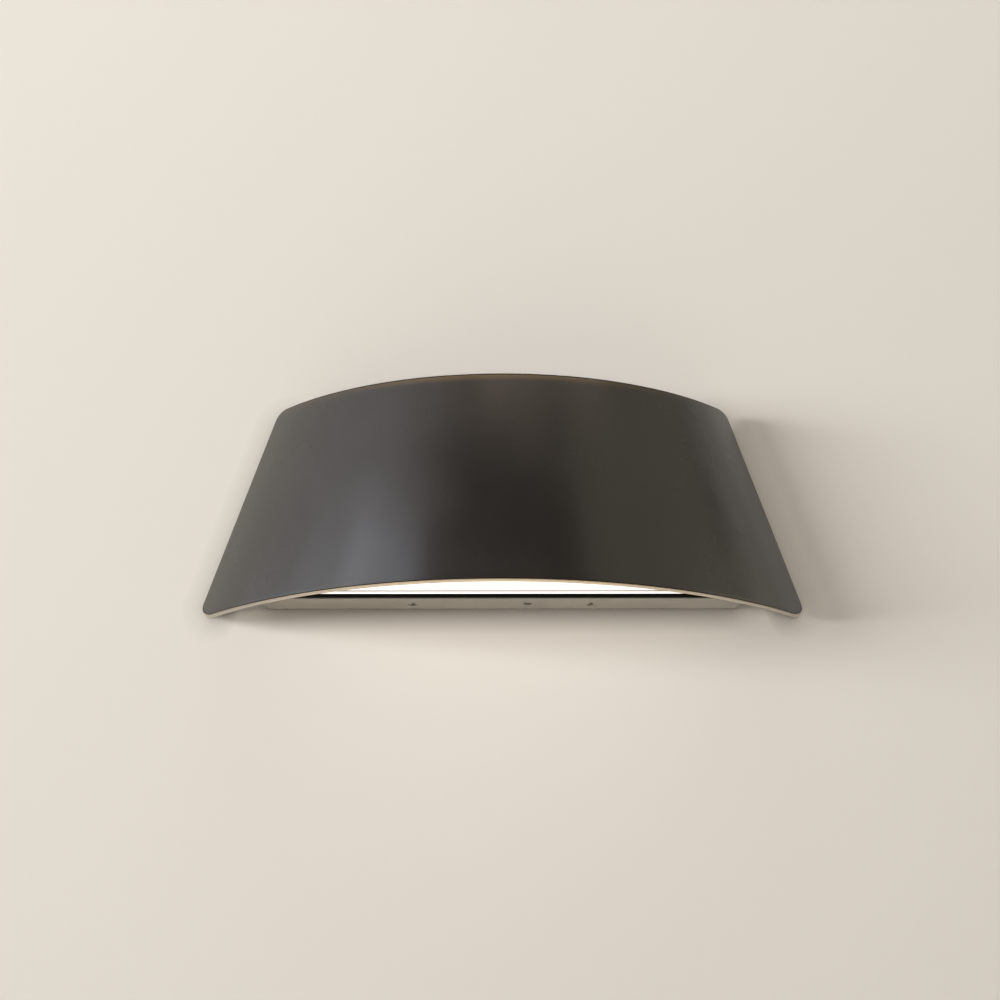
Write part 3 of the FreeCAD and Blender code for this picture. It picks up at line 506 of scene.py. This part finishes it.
def phosphor():
    """Light sources: cloudy yellow gel that glows."""
    amber, yellow = (0.86, 0.62, 0.16, 1.0), (0.95, 0.80, 0.30, 1.0)
    material, tree, shader = new_material("Yellow phosphor", emission_strength=1.0)
    grain = use_group(tree, "Fine grain", grain_scale=2500.0, mottle_scale=700.0)
    warm = blend(tree, grain["Mottle"], amber, yellow)
    set_colour(tree, shader, warm)
    tree.links.new(warm, shader.inputs["Emission Color"])
    set_roughness(tree, shader, uneven(tree, grain["Mottle"], 0.2, 0.3))
    set_bump(tree, shader, grain["Height"], 0.05)
    return material


def board_mask():
    """White lacquer on the light source's board, with the darker lines of the tracks under it."""
    lacquer_dark, lacquer_light = (0.84, 0.84, 0.81, 1.0), (0.90, 0.90, 0.88, 1.0)
    track_colour, track_pitch, track_share = (0.72, 0.73, 0.70, 1.0), 0.0035, 0.5
    faint, full = 0.35, 0.55
    material, tree, shader = new_material("White lacquered board")
    grain = use_group(tree, "Fine grain", grain_scale=1600.0, mottle_scale=120.0)
    low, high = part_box("led_board")
    across = split(tree, vector_node(tree, "SUBTRACT", place_on(tree), (low + high) / 2))["Y"]
    ripple = math_node(tree, "SINE", math_node(tree, "MULTIPLY", across, 2 * math.pi / track_pitch))
    track = spread(tree, ripple, faint, full, 0.0, 1.0)
    base = blend(tree, grain["Mottle"], lacquer_dark, lacquer_light)
    faint_track = math_node(tree, "MULTIPLY", track, track_share)
    set_colour(tree, shader, blend(tree, faint_track, base, track_colour))
    set_roughness(tree, shader, uneven(tree, grain["Mottle"], 0.28, 0.42))
    set_bump(tree, shader, track, 0.1, SKIN_DEPTH / 2)
    return material


def winding_stripe(tree, node):
    """A mask of a stripe that winds round an upright lead."""
    winding, faint, full = 420.0, 0.15, 0.25
    low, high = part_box(node)
    away = split(tree, vector_node(tree, "SUBTRACT", place_on(tree), (low + high) / 2))
    turn = math_node(tree, "ARCTAN2", away["Y"], away["X"])
    climb = math_node(tree, "MULTIPLY", away["Z"], winding)
    wave = math_node(tree, "SINE", math_node(tree, "ADD", turn, climb))
    return spread(tree, wave, faint, full, 0.0, 1.0)


def sleeve(name, colour, stripe=None):
    """Soft plastic round a lead, with faint drawing lines. The earth lead's has a winding stripe."""
    dark, light = 0.9, 1.08
    material, tree, shader = new_material(name)
    grain = use_group(tree, "Fine grain", grain_scale=1800.0, mottle_scale=260.0)
    lines = use_group(tree, "Ground streaks", streak_scale=260.0, stretch=1.0)
    base = tones(tree, grain["Mottle"], colour, dark, light)
    if stripe:
        base = blend(tree, winding_stripe(tree, "earth_lead"), base, rgba(stripe))
    set_colour(tree, shader, base)
    set_roughness(tree, shader, uneven(tree, lines["Streak"], 0.32, 0.46))
    set_bump(tree, shader, lines["Streak"], 0.08, SKIN_DEPTH / 2)
    return material


# Shade

COLUMNS, ROWS = 112, 32
CORNER_STEPS, RIM_STEPS, RIB_STEPS = 10, 6, 8
# Steps of the rim that get the dark rim paint, partly painted shade, up the sides and along the foot, and
# how many it gains over a corner
PAINTED_STEPS, FOOT_PAINTED_STEPS, CORNER_GAIN = 4, 2, 2.5
PAINT_SLOT, BARE_SLOT, SHADED_RIM_SLOT = 0, 1, 2
# Where the edge's cut starts to turn square, and over which height, as shares of the corner rounding
CUT_START, CUT_HEIGHT = 0.25, 1.5
RIM_MARGIN = 3
RIB_SINK = 0.8
SHARP_ANGLE = math.radians(35)


def shade_axis(sizes, z):
    """Radius and centre y of the shade's outer arc at a level."""
    share = (z - SHADE_LOW.z) / (SHADE_HIGH.z - SHADE_LOW.z)
    width = sizes.foot_width + (sizes.top_width - sizes.foot_width) * share
    bow = sizes.bow * width / sizes.foot_width
    radius = ((width / 2) ** 2 + bow**2) / (2 * bow)
    return radius, radius - bow - sizes.wall_gap


def shade_point(sizes, x, z, depth, square=1.0):
    """The point at a depth under the plate's outer face, from a place (x, z) seen from the front.
    Square is 1 where the depth goes square into the plate, and 0 where it goes straight back."""
    radius, centre = shade_axis(sizes, z)
    across = x * (1 - square * depth / radius)
    return Vector((across, centre - math.sqrt((radius - depth) ** 2 - across**2), z))


def edge_cut(sizes, z):
    """The plate's edge is cut straight back along its foot and square to the plate up its sides."""
    height = (z - SHADE_LOW.z) / sizes.corner
    share = min(1.0, max(0.0, (height - CUT_START) / CUT_HEIGHT))
    return share * share * (3 - 2 * share)


def corner_centres(sizes):
    """The four corner roundings seen from the front, from the lower left round to the upper left: each has
    its centre and the turns where its arc starts and ends."""
    lean = (sizes.foot_width - sizes.top_width) / 2 / (SHADE_HIGH.z - SHADE_LOW.z)
    slant = sizes.corner * math.sqrt(1 + lean**2)
    foot = sizes.foot_width / 2 - lean * sizes.corner - slant
    top = sizes.top_width / 2 + lean * sizes.corner - slant
    low, high = SHADE_LOW.z + sizes.corner, SHADE_HIGH.z - sizes.corner
    side = math.atan(lean)
    return [
        ((-foot, low), math.pi - side, 1.5 * math.pi),
        ((foot, low), 1.5 * math.pi, 2 * math.pi + side),
        ((top, high), side, 0.5 * math.pi),
        ((-top, high), 0.5 * math.pi, math.pi - side),
    ]


def outline_points(sizes, inset):
    """The shade's outline seen from the front, drawn in by an inset, as a loop of (x, z)."""
    radius = sizes.corner - inset
    arcs = []
    for (x, z), start, end in corner_centres(sizes):
        turns = [start + (end - start) * step / CORNER_STEPS for step in range(CORNER_STEPS + 1)]
        arcs.append([(x + radius * math.cos(turn), z + radius * math.sin(turn)) for turn in turns])
    loop = []
    for arc, following, count in zip(arcs, arcs[1:] + arcs[:1], (COLUMNS, ROWS, COLUMNS, ROWS)):
        loop += arc[:-1]
        (x0, z0), (x1, z1) = arc[-1], following[0]
        for step in range(count):
            share = step / count
            loop.append((x0 + (x1 - x0) * share, z0 + (z1 - z0) * share))
    return loop


def rim_profile(sizes):
    """The plate's edge as (inset, depth) from its outer face, round the rim, to its inner face."""
    rim, wall = sizes.rim, sizes.wall
    quarter = [0.5 * math.pi * step / RIM_STEPS for step in range(RIM_STEPS + 1)]
    outside = [(rim * (1 - math.sin(turn)), rim * (1 - math.cos(turn))) for turn in quarter]
    inside = [(inset, wall - depth) for inset, depth in reversed(outside)]
    return [(RIM_MARGIN * rim, 0.0)] + outside + inside + [(RIM_MARGIN * rim, wall)]


def painted_steps(sizes, z):
    """How many steps of the rim get the dark rim paint, partly painted shade: fewer along the foot than up
    the sides.
    """
    height = max(0.0, (z - SHADE_LOW.z) / sizes.corner)
    return min(PAINTED_STEPS, FOOT_PAINTED_STEPS + int(CORNER_GAIN * height))


def rim_slot(index, painted):
    """The finish of a band of the plate's edge: painted, bare, or the dark rim paint that is partly painted
    shade.
    """
    if 1 <= index <= painted or RIM_STEPS + 1 < index <= 2 * RIM_STEPS + 1:
        return SHADED_RIM_SLOT
    return BARE_SLOT if painted < index <= RIM_STEPS + 1 else PAINT_SLOT


def middle_grid(mesh, sizes, depth, loop):
    """Fills the inside of the innermost loop with rows, and joins it to that loop's points."""
    centres = [centre for centre, _, _ in corner_centres(sizes)]
    (foot, low), (top, high) = centres[1], centres[2]
    rows = []
    for row in range(ROWS + 1):
        share = row / ROWS
        half = foot + (top - foot) * share
        z = low + (high - low) * share
        places = [-half + 2 * half * column / COLUMNS for column in range(COLUMNS + 1)]
        rows.append([mesh.verts.new(shade_point(sizes, x, z, depth)) for x in places])
    outward = depth == 0
    for lower, upper in zip(rows, rows[1:]):
        for column in range(COLUMNS):
            corners = [lower[column], lower[column + 1], upper[column + 1], upper[column]]
            mesh.faces.new(corners if outward else corners[::-1])
    sides = (
        rows[0][:-1],
        [line[-1] for line in rows[:-1]],
        rows[-1][:0:-1],
        [line[0] for line in rows[:0:-1]],
    )
    border = []
    for side in sides:
        border += [side[0]] * CORNER_STEPS + side
    stitch(mesh, border, loop, outward)


def stitch(mesh, first, second, outward):
    """Joins two loops of as many points by a band of faces, where a point may be repeated."""
    count = len(first)
    for index in range(count):
        after = (index + 1) % count
        corners = []
        for vert in (first[index], second[index], second[after], first[after]):
            if vert not in corners:
                corners.append(vert)
        if len(corners) > 2:
            mesh.faces.new(corners if outward else corners[::-1])


def add_rib(mesh, sizes, x):
    """One of the ribs behind the plate: its front runs into the plate and its back stands on the box."""
    foot, top = TRAY_HIGH.z + sizes.rib_gap, HOUSING_HIGH.z
    sides = (x - sizes.rib_width / 2, x + sizes.rib_width / 2)
    sink = sizes.wall * RIB_SINK
    levels = [foot + (top - foot) * step / RIB_STEPS for step in range(RIB_STEPS + 1)]
    fronts = [[mesh.verts.new(shade_point(sizes, side, z, sink)) for side in sides] for z in levels]
    backs = [[mesh.verts.new((side, HOUSING_LOW.y, z)) for side in sides] for z in levels]
    for step in range(RIB_STEPS):
        a, b, c, d = fronts[step], fronts[step + 1], backs[step], backs[step + 1]
        mesh.faces.new((a[0], a[1], b[1], b[0]))
        mesh.faces.new((c[1], c[0], d[0], d[1]))
        mesh.faces.new((a[1], c[1], d[1], b[1]))
        mesh.faces.new((c[0], a[0], b[0], d[0]))
    mesh.faces.new((fronts[0][1], fronts[0][0], backs[0][0], backs[0][1]))
    mesh.faces.new((fronts[-1][0], fronts[-1][1], backs[-1][1], backs[-1][0]))


def shade_mesh(sizes):
    """The curved plate with rounded rims, closed, and its two ribs. The rim's faces get their own slots."""
    mesh = bmesh.new()
    loops = []
    for inset, depth in rim_profile(sizes):
        loop = []
        for x, z in outline_points(sizes, inset):
            loop.append(mesh.verts.new(shade_point(sizes, x, z, depth, edge_cut(sizes, z))))
        loops.append(loop)
    for index, (first, second) in enumerate(zip(loops, loops[1:])):
        before = len(mesh.faces)
        stitch(mesh, first, second, True)
        mesh.faces.ensure_lookup_table()
        for face in mesh.faces[before:]:
            painted = painted_steps(sizes, face.calc_center_median().z)
            face.material_index = rim_slot(index, painted)
    middle_grid(mesh, sizes, 0.0, loops[0])
    middle_grid(mesh, sizes, sizes.wall, loops[-1])
    for side in (-1, 1):
        add_rib(mesh, sizes, side * sizes.rib_place)
    bmesh.ops.recalc_face_normals(mesh, faces=mesh.faces)
    data = bpy.data.meshes.new("shade_plate")
    mesh.to_mesh(data)
    mesh.free()
    return data


def add_object(name, data):
    thing = bpy.data.objects.new(name, data)
    bpy.context.scene.collection.objects.link(thing)
    return thing


def finish_nodes(material, *names):
    """Gives CAD nodes a finish."""
    for name in names:
        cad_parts[name].material_slots[0].material = material


class DOWNLIGHT_OT_shade(bpy.types.Operator):
    """Makes the curved shade with its bare edge"""
    bl_idname = "downlight.shade"
    bl_label = "Shade"

    def execute(self, context):
        scene = context.scene
        data = shade_mesh(scene.shade_sizes)
        data.materials.append(shade_paint(scene.finishes))
        data.materials.append(ground_edge(scene.finishes))
        data.materials.append(rim_paint_and_shade(scene.finishes))
        data.shade_smooth()
        data.set_sharp_from_angle(angle=SHARP_ANGLE)
        shade = add_object("curved_shade", data)
        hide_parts("shade")
        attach(shade, "lamp")
        return {"FINISHED"}


# Pieces that keep their CAD shape

RUBBER, SILICONE, WHITE_PLASTIC = (0.022, 0.022, 0.023), (0.48, 0.48, 0.46), (0.88, 0.88, 0.87)
DRIVER_PLASTIC, TERMINAL_PLASTIC = (0.72, 0.72, 0.70), (0.58, 0.59, 0.58)
BUTTON_COLOURS = {
    "earth": (0.07, 0.32, 0.09),
    "live": (0.20, 0.09, 0.035),
    "neutral": (0.05, 0.14, 0.45),
}
EARTH_GREEN, EARTH_YELLOW = (0.06, 0.30, 0.05), (0.72, 0.56, 0.03)
LEAD_COLOURS = {
    "live_lead": (0.19, 0.08, 0.03),
    "neutral_lead": (0.04, 0.13, 0.48),
    "led_plus_lead": (0.48, 0.025, 0.02),
    "led_minus_lead": (0.02, 0.02, 0.021),
}


class DOWNLIGHT_OT_box(bpy.types.Operator):
    """Paints the box on the wall and the cover over it"""
    bl_idname = "downlight.box"
    bl_label = "Box and cover"

    def execute(self, context):
        finish_nodes(box_paint_and_reflection(context.scene.finishes), "housing")
        finish_nodes(cover_paint(context.scene.finishes), "top_cover")
        return {"FINISHED"}


class DOWNLIGHT_OT_wall_side(bpy.types.Operator):
    """Finishes the wall plate, the gasket and the rubber bushes of the cable and the leads"""
    bl_idname = "downlight.wall_side"
    bl_label = "Wall side"

    def execute(self, context):
        finish_nodes(galvanised(), "wall_plate")
        rubber = moulded("Black rubber", RUBBER, (0.62, 0.78), grain_scale=900.0, bump=0.25, specular=0.3)
        finish_nodes(rubber, "cable_grommet", "wall_gasket", "wire_grommet")
        return {"FINISHED"}


class DOWNLIGHT_OT_light(bpy.types.Operator):
    """Finishes the light tray and what it holds"""
    bl_idname = "downlight.light"
    bl_label = "Light source"

    def execute(self, context):
        finish_nodes(cast_metal(), "light_tray")
        finish_nodes(moulded("Grey silicone", SILICONE, (0.55, 0.7)), "thermal_pad", "diffuser_seal")
        finish_nodes(board_mask(), "led_board")
        finish_nodes(phosphor(), "led_chips")
        finish_nodes(moulded("White reflector", WHITE_PLASTIC, (0.2, 0.3)), "reflector")
        finish_nodes(glowing_opal(context.scene.finishes), "diffuser")
        return {"FINISHED"}


class DOWNLIGHT_OT_wiring(bpy.types.Operator):
    """Finishes the driver, the terminals, their buttons and the leads"""
    bl_idname = "downlight.wiring"
    bl_label = "Wiring"

    def execute(self, context):
        finish_nodes(moulded("Driver case", DRIVER_PLASTIC, (0.42, 0.55)), "led_driver")
        finish_nodes(moulded("Terminal plastic", TERMINAL_PLASTIC, (0.35, 0.48)), "terminal_block")
        brass = plated("Contact brass", (0.60, 0.42, 0.16), (0.80, 0.62, 0.30), (0.25, 0.4))
        finish_nodes(brass, "terminal_contacts")
        tinned = plated("Tinned copper", (0.58, 0.56, 0.52), (0.74, 0.72, 0.68), (0.3, 0.45))
        finish_nodes(tinned, "earth_tag")
        for name, colour in BUTTON_COLOURS.items():
            plastic = moulded(name.capitalize() + " button plastic", colour, (0.25, 0.36))
            finish_nodes(plastic, name + "_button")
        finish_nodes(sleeve("Earth sleeve", EARTH_GREEN, EARTH_YELLOW), "earth_lead")
        for name, colour in LEAD_COLOURS.items():
            finish_nodes(sleeve(name.replace("_", " ").capitalize() + " sleeve", colour), name)
        return {"FINISHED"}


class DOWNLIGHT_OT_fasteners(bpy.types.Operator):
    """Finishes the screws"""
    bl_idname = "downlight.fasteners"
    bl_label = "Fasteners"

    def execute(self, context):
        zinc = plated("Zinc plating", (0.56, 0.57, 0.58), (0.74, 0.75, 0.76), (0.22, 0.36))
        finish_nodes(zinc, "shade_screws", "light_tray_screws", "led_board_screws", "driver_screws",
                     "terminal_screws", "earth_screw")
        black = plated("Black oxide", (0.045, 0.043, 0.042), (0.075, 0.072, 0.07), (0.3, 0.45))
        finish_nodes(black, "top_cover_screws")
        grey = plated("Grey oxide", (0.46, 0.43, 0.37), (0.58, 0.55, 0.47), (0.3, 0.45))
        finish_nodes(grey, "fixing_screw_left", "fixing_screw_right")
        return {"FINISHED"}


# Stage

WALL_SIDE, WALL_TOP, FLOOR_REACH = 1.3, 2.5, 3.0
# The stage's wall stands this far behind the part's back, and light from behind reaches what is this near it
WALL_BEHIND, SEE_THROUGH = 0.0004, 0.03
FLOOR_LIGHT = 0.6
SENSOR_WIDTH = 36.0

# Each lamp has a name, a place, its width and height, its brightness and its colour. These places are
# a distance from the part, degrees to the right of straight in front, and degrees of height.
MATT_LAMPS = (
    ("sun", (6.0, -65, 2), (2.4, 1.6), 31.5, (0.96, 0.98, 1.0)),
    ("fill", (2.4, 0, -16), (0.8, 0.5), 13.2, (1.0, 0.89, 0.81)),
    ("overhead", (2.0, -6, 84), (1.6, 0.8), 2.2, (0.84, 0.96, 1.0)),
)
GLOSS_LAMPS = (
    ("left_panel", (2.0, -66, 32), (1.5, 1.6), 0.68, (1.0, 0.97, 0.97)),
    ("left_soft", (2.0, -35.5, 32), (0.31, 1.6), 0.40, (1.0, 0.96, 0.94)),
    ("left_fade", (2.0, -22, 32), (0.45, 1.6), 0.13, (1.0, 0.94, 0.90)),
    ("left_glow", (1.0, -60, 20), (0.4, 0.4), 0.83, (0.82, 0.89, 1.0)),
    ("right_panel", (1.5, 56, 34), (1.3, 1.4), 0.36, (1.0, 0.89, 0.70)),
    ("front_strip", (2.0, 0, 7), (2.6, 0.5), 0.45, (1.0, 0.94, 0.86)),
)
# These stand close to the shade or behind the wall, and their places are x, y and z in metres
NEAR_LAMPS = (
    ("left_core", (-0.210, -0.248, 0.115), (0.15, 0.08), 1.15, (0.82, 0.87, 1.0)),
    ("left_wing", (-0.45, -0.10, 0.02), (0.25, 0.25), 1.1, (0.66, 0.80, 1.0)),
    ("right_wing", (0.45, -0.10, 0.02), (0.25, 0.25), 0.92, (1.0, 0.92, 0.70)),
    ("top_bar", (0.06, -0.19, 0.20), (0.22, 0.05), 0.63, (1.0, 0.82, 0.69)),
    ("top_middle", (-0.02, -0.17, 0.15), (0.17, 0.05), 0.38, (1.0, 0.83, 0.70)),
)
BACK_LAMPS = (
    ("back_right", (1.0, 1.5, 1.0), (1.6, 1.6), 4.5, (1.0, 0.99, 0.97)),
    ("back_left", (-1.3, 1.3, 0.5), (1.2, 1.2), 3.0, (1.0, 0.97, 0.93)),
)
ORIGIN, SHADE_FACE = (0, 0, 0), (0, -0.05, 0)


def plaster_with_painted_light(tree, colour, mottle):
    """Plaster with painted light: lighter towards the upper left, as if lit from there, with faint clouds.
    """
    half_height, side_share, cloud_share = 0.5, 0.3, 0.1
    dark, light = 0.84, 1.18
    place = split(tree, place_on(tree))
    inputs = {"Value": place["Z"], "From Min": -half_height, "From Max": half_height}
    height = put(tree, "ShaderNodeMapRange", inputs).outputs["Result"]
    # Painted light: the colour rises towards the top and the left.
    lean = math_node(tree, "SUBTRACT", height, math_node(tree, "MULTIPLY", place["X"], side_share))
    clouds = math_node(tree, "MULTIPLY", math_node(tree, "SUBTRACT", mottle, 0.5), cloud_share)
    return tones(tree, math_node(tree, "ADD", lean, clouds), colour, dark, light)


def stage_material(name, colour, see_through, own_light):
    """Plain matt plaster that shows from one side. The camera sees a painted contact shadow on it close to
    the part, and sees it with its own light. Light from behind reaches what stands nearer to it than
    see_through."""
    contact_shadow_reach = 0.012
    material, tree, shader = new_material(name, roughness=0.9, specular_ior_level=0.15)
    grain = use_group(tree, "Fine grain", grain_scale=350.0, mottle_scale=2.5)
    plaster = plaster_with_painted_light(tree, colour, grain["Mottle"])
    path = put(tree, "ShaderNodeLightPath").outputs
    seen = path["Is Camera Ray"]
    # Painted shadow: for the camera only, the plaster turns dark where the part stands close.
    around = put(tree, "ShaderNodeAmbientOcclusion", {"Distance": contact_shadow_reach}, samples=8)
    painted_contact_shadow = math_node(tree, "MAXIMUM", around.outputs["AO"], math_node(tree, "SUBTRACT", 1.0, seen))
    set_colour(tree, shader, blend(tree, painted_contact_shadow, BLACK, plaster))
    set_bump(tree, shader, grain["Height"], 0.03, 2 * SKIN_DEPTH)
    shader.inputs["Emission Color"].default_value = rgba(colour)
    tree.links.new(math_node(tree, "MULTIPLY", seen, own_light), shader.inputs["Emission Strength"])
    near = math_node(tree, "LESS_THAN", path["Ray Length"], see_through)
    soft = math_node(tree, "MAXIMUM", path["Is Diffuse Ray"], path["Is Shadow Ray"])
    behind = put(tree, "ShaderNodeNewGeometry").outputs["Backfacing"]
    gone = math_node(tree, "MAXIMUM", behind, math_node(tree, "MULTIPLY", near, soft))
    clear = put(tree, "ShaderNodeBsdfTransparent").outputs[0]
    mixed = put(tree, "ShaderNodeMixShader", {0: gone, 1: shader.outputs[0], 2: clear})
    output = next(node for node in tree.nodes if node.type == "OUTPUT_MATERIAL")
    tree.links.new(mixed.outputs[0], output.inputs["Surface"])
    return material


def add_plane(name, corners, material):
    data = bpy.data.meshes.new(name)
    data.from_pydata(corners, [], [(0, 1, 2, 3)])
    data.materials.append(material)
    plane = add_object(name, data)


def add_wall_and_floor(stage):
    """A plain wall behind the part and a floor under it."""
    side, top, reach, back, low = WALL_SIDE, WALL_TOP, FLOOR_REACH, WALL_BEHIND, -stage.floor_drop
    wall = stage_material("Plain wall", stage.wall_colour, SEE_THROUGH, 0.0)
    add_plane("wall", [(-side, back, low), (side, back, low), (side, back, top), (-side, back, top)], wall)
    floor = stage_material("Plain floor", stage.wall_colour, 0.0, FLOOR_LIGHT)
    corners = [(-reach, -reach, low), (reach, -reach, low), (reach, reach, low), (-reach, reach, low)]
    add_plane("floor", corners, floor)


def around_wall(distance, azimuth, elevation):
    """A place at a distance from the part, turned to the right of the front and raised, in degrees."""
    turn, lift = math.radians(azimuth), math.radians(elevation)
    level = distance * math.cos(lift)
    return level * math.sin(turn), -level * math.cos(turn), distance * math.sin(lift)


def add_softbox(name, place, aim, size, radiance, colour, glossy=True, diffuse=True):
    """A rectangular lamp that faces a point and has a given brightness whatever its size."""
    lamp = bpy.data.lights.new(name, "AREA")
    lamp.shape = "RECTANGLE"
    lamp.size, lamp.size_y = size
    lamp.energy = radiance * size[0] * size[1] * math.pi
    lamp.color = colour
    thing = add_object(name, lamp)
    thing.location = place
    thing.rotation_euler = (Vector(aim) - Vector(place)).to_track_quat("-Z", "Y").to_euler()
    thing.visible_glossy = glossy
    thing.visible_diffuse = diffuse
    return lamp


def add_beam():
    """The light that the opal cover throws down on the wall."""
    drop, depth, angle = 0.001, 0.016, math.radians(85)
    radiance, colour = 0.4, (0.85, 0.97, 1.0)
    middle = (COVER_LOW + COVER_HIGH) / 2
    under = Vector((middle.x, middle.y, HOUSING_LOW.z - drop))
    below = under - Vector((0, 0, 1))
    size = (COVER_HIGH.x - COVER_LOW.x, depth)
    beam = add_softbox("beam", under, below, size, radiance, colour, glossy=False)
    beam.spread = angle


def add_lamps():
    """Lamps that light matt surfaces, lamps that glossy ones mirror, the cover's beam and lamps behind."""
    for name, place, *light in MATT_LAMPS:
        add_softbox(name, around_wall(*place), ORIGIN, *light, glossy=False)
    for name, place, *light in GLOSS_LAMPS:
        add_softbox(name, around_wall(*place), ORIGIN, *light, diffuse=False)
    for name, place, *light in NEAR_LAMPS:
        add_softbox(name, place, SHADE_FACE, *light, diffuse=False)
    add_beam()
    for name, place, *light in BACK_LAMPS:
        add_softbox(name, place, ORIGIN, *light)


def room_world():
    """Dim warm light from all round, which the camera sees as a pale room."""
    dim, pale = 0.10, 0.80
    world = bpy.data.worlds.new("Room")
    world.use_nodes = True
    tree = world.node_tree
    room = tree.nodes["Background"]
    room.inputs["Color"].default_value = (1.0, 0.96, 0.90, 1.0)
    seen = put(tree, "ShaderNodeLightPath").outputs["Is Camera Ray"]
    tree.links.new(spread(tree, seen, 0.0, 1.0, dim, pale), room.inputs["Strength"])
    return world


def add_camera(stage):
    data = bpy.data.cameras.new("camera")
    data.sensor_width, data.lens = SENSOR_WIDTH, stage.lens
    camera = add_object("camera", data)
    camera.location = stage.camera_place
    camera.rotation_euler = (math.pi / 2 + stage.camera_pitch, 0.0, stage.camera_yaw)
    return camera


class DOWNLIGHT_OT_stage(bpy.types.Operator):
    """Sets the wall, the floor, soft studio light and the camera"""
    bl_idname = "downlight.stage"
    bl_label = "Stage"

    def execute(self, context):
        scene = context.scene
        add_wall_and_floor(scene.stage_settings)
        add_lamps()
        scene.world = room_world()
        scene.view_settings.view_transform = "Standard"
        scene.camera = add_camera(scene.stage_settings)
        return {"FINISHED"}


class DOWNLIGHT_PT_panel(bpy.types.Panel):
    """Lists the sizes, the finishes and the steps"""
    bl_idname = "DOWNLIGHT_PT_panel"
    bl_label = "Wall downlight"
    bl_space_type = "VIEW_3D"
    bl_region_type = "UI"
    bl_category = "Downlight"

    def draw(self, context):
        layout = self.layout
        for group in (context.scene.shade_sizes, context.scene.finishes, context.scene.stage_settings):
            for name in group.__annotations__:
                layout.prop(group, name)
        for step in STEPS:
            layout.operator(step.bl_idname)


STEPS = (
    DOWNLIGHT_OT_stage,
    DOWNLIGHT_OT_shade,
    DOWNLIGHT_OT_box,
    DOWNLIGHT_OT_wall_side,
    DOWNLIGHT_OT_light,
    DOWNLIGHT_OT_wiring,
    DOWNLIGHT_OT_fasteners,
)
CLASSES = (ShadeSizes, Finishes, StageSettings) + STEPS + (DOWNLIGHT_PT_panel,)


def register():
    for kind in CLASSES:
        bpy.utils.register_class(kind)
    bpy.types.Scene.shade_sizes = bpy.props.PointerProperty(type=ShadeSizes)
    bpy.types.Scene.finishes = bpy.props.PointerProperty(type=Finishes)
    bpy.types.Scene.stage_settings = bpy.props.PointerProperty(type=StageSettings)


def unregister():
    del bpy.types.Scene.stage_settings
    del bpy.types.Scene.finishes
    del bpy.types.Scene.shade_sizes
    for kind in reversed(CLASSES):
        bpy.utils.unregister_class(kind)


def main():
    register()
    bpy.ops.downlight.stage()
    bpy.ops.downlight.shade()
    bpy.ops.downlight.box()
    bpy.ops.downlight.wall_side()
    bpy.ops.downlight.light()
    bpy.ops.downlight.wiring()
    bpy.ops.downlight.fasteners()


if __name__ == "__main__":
    main()
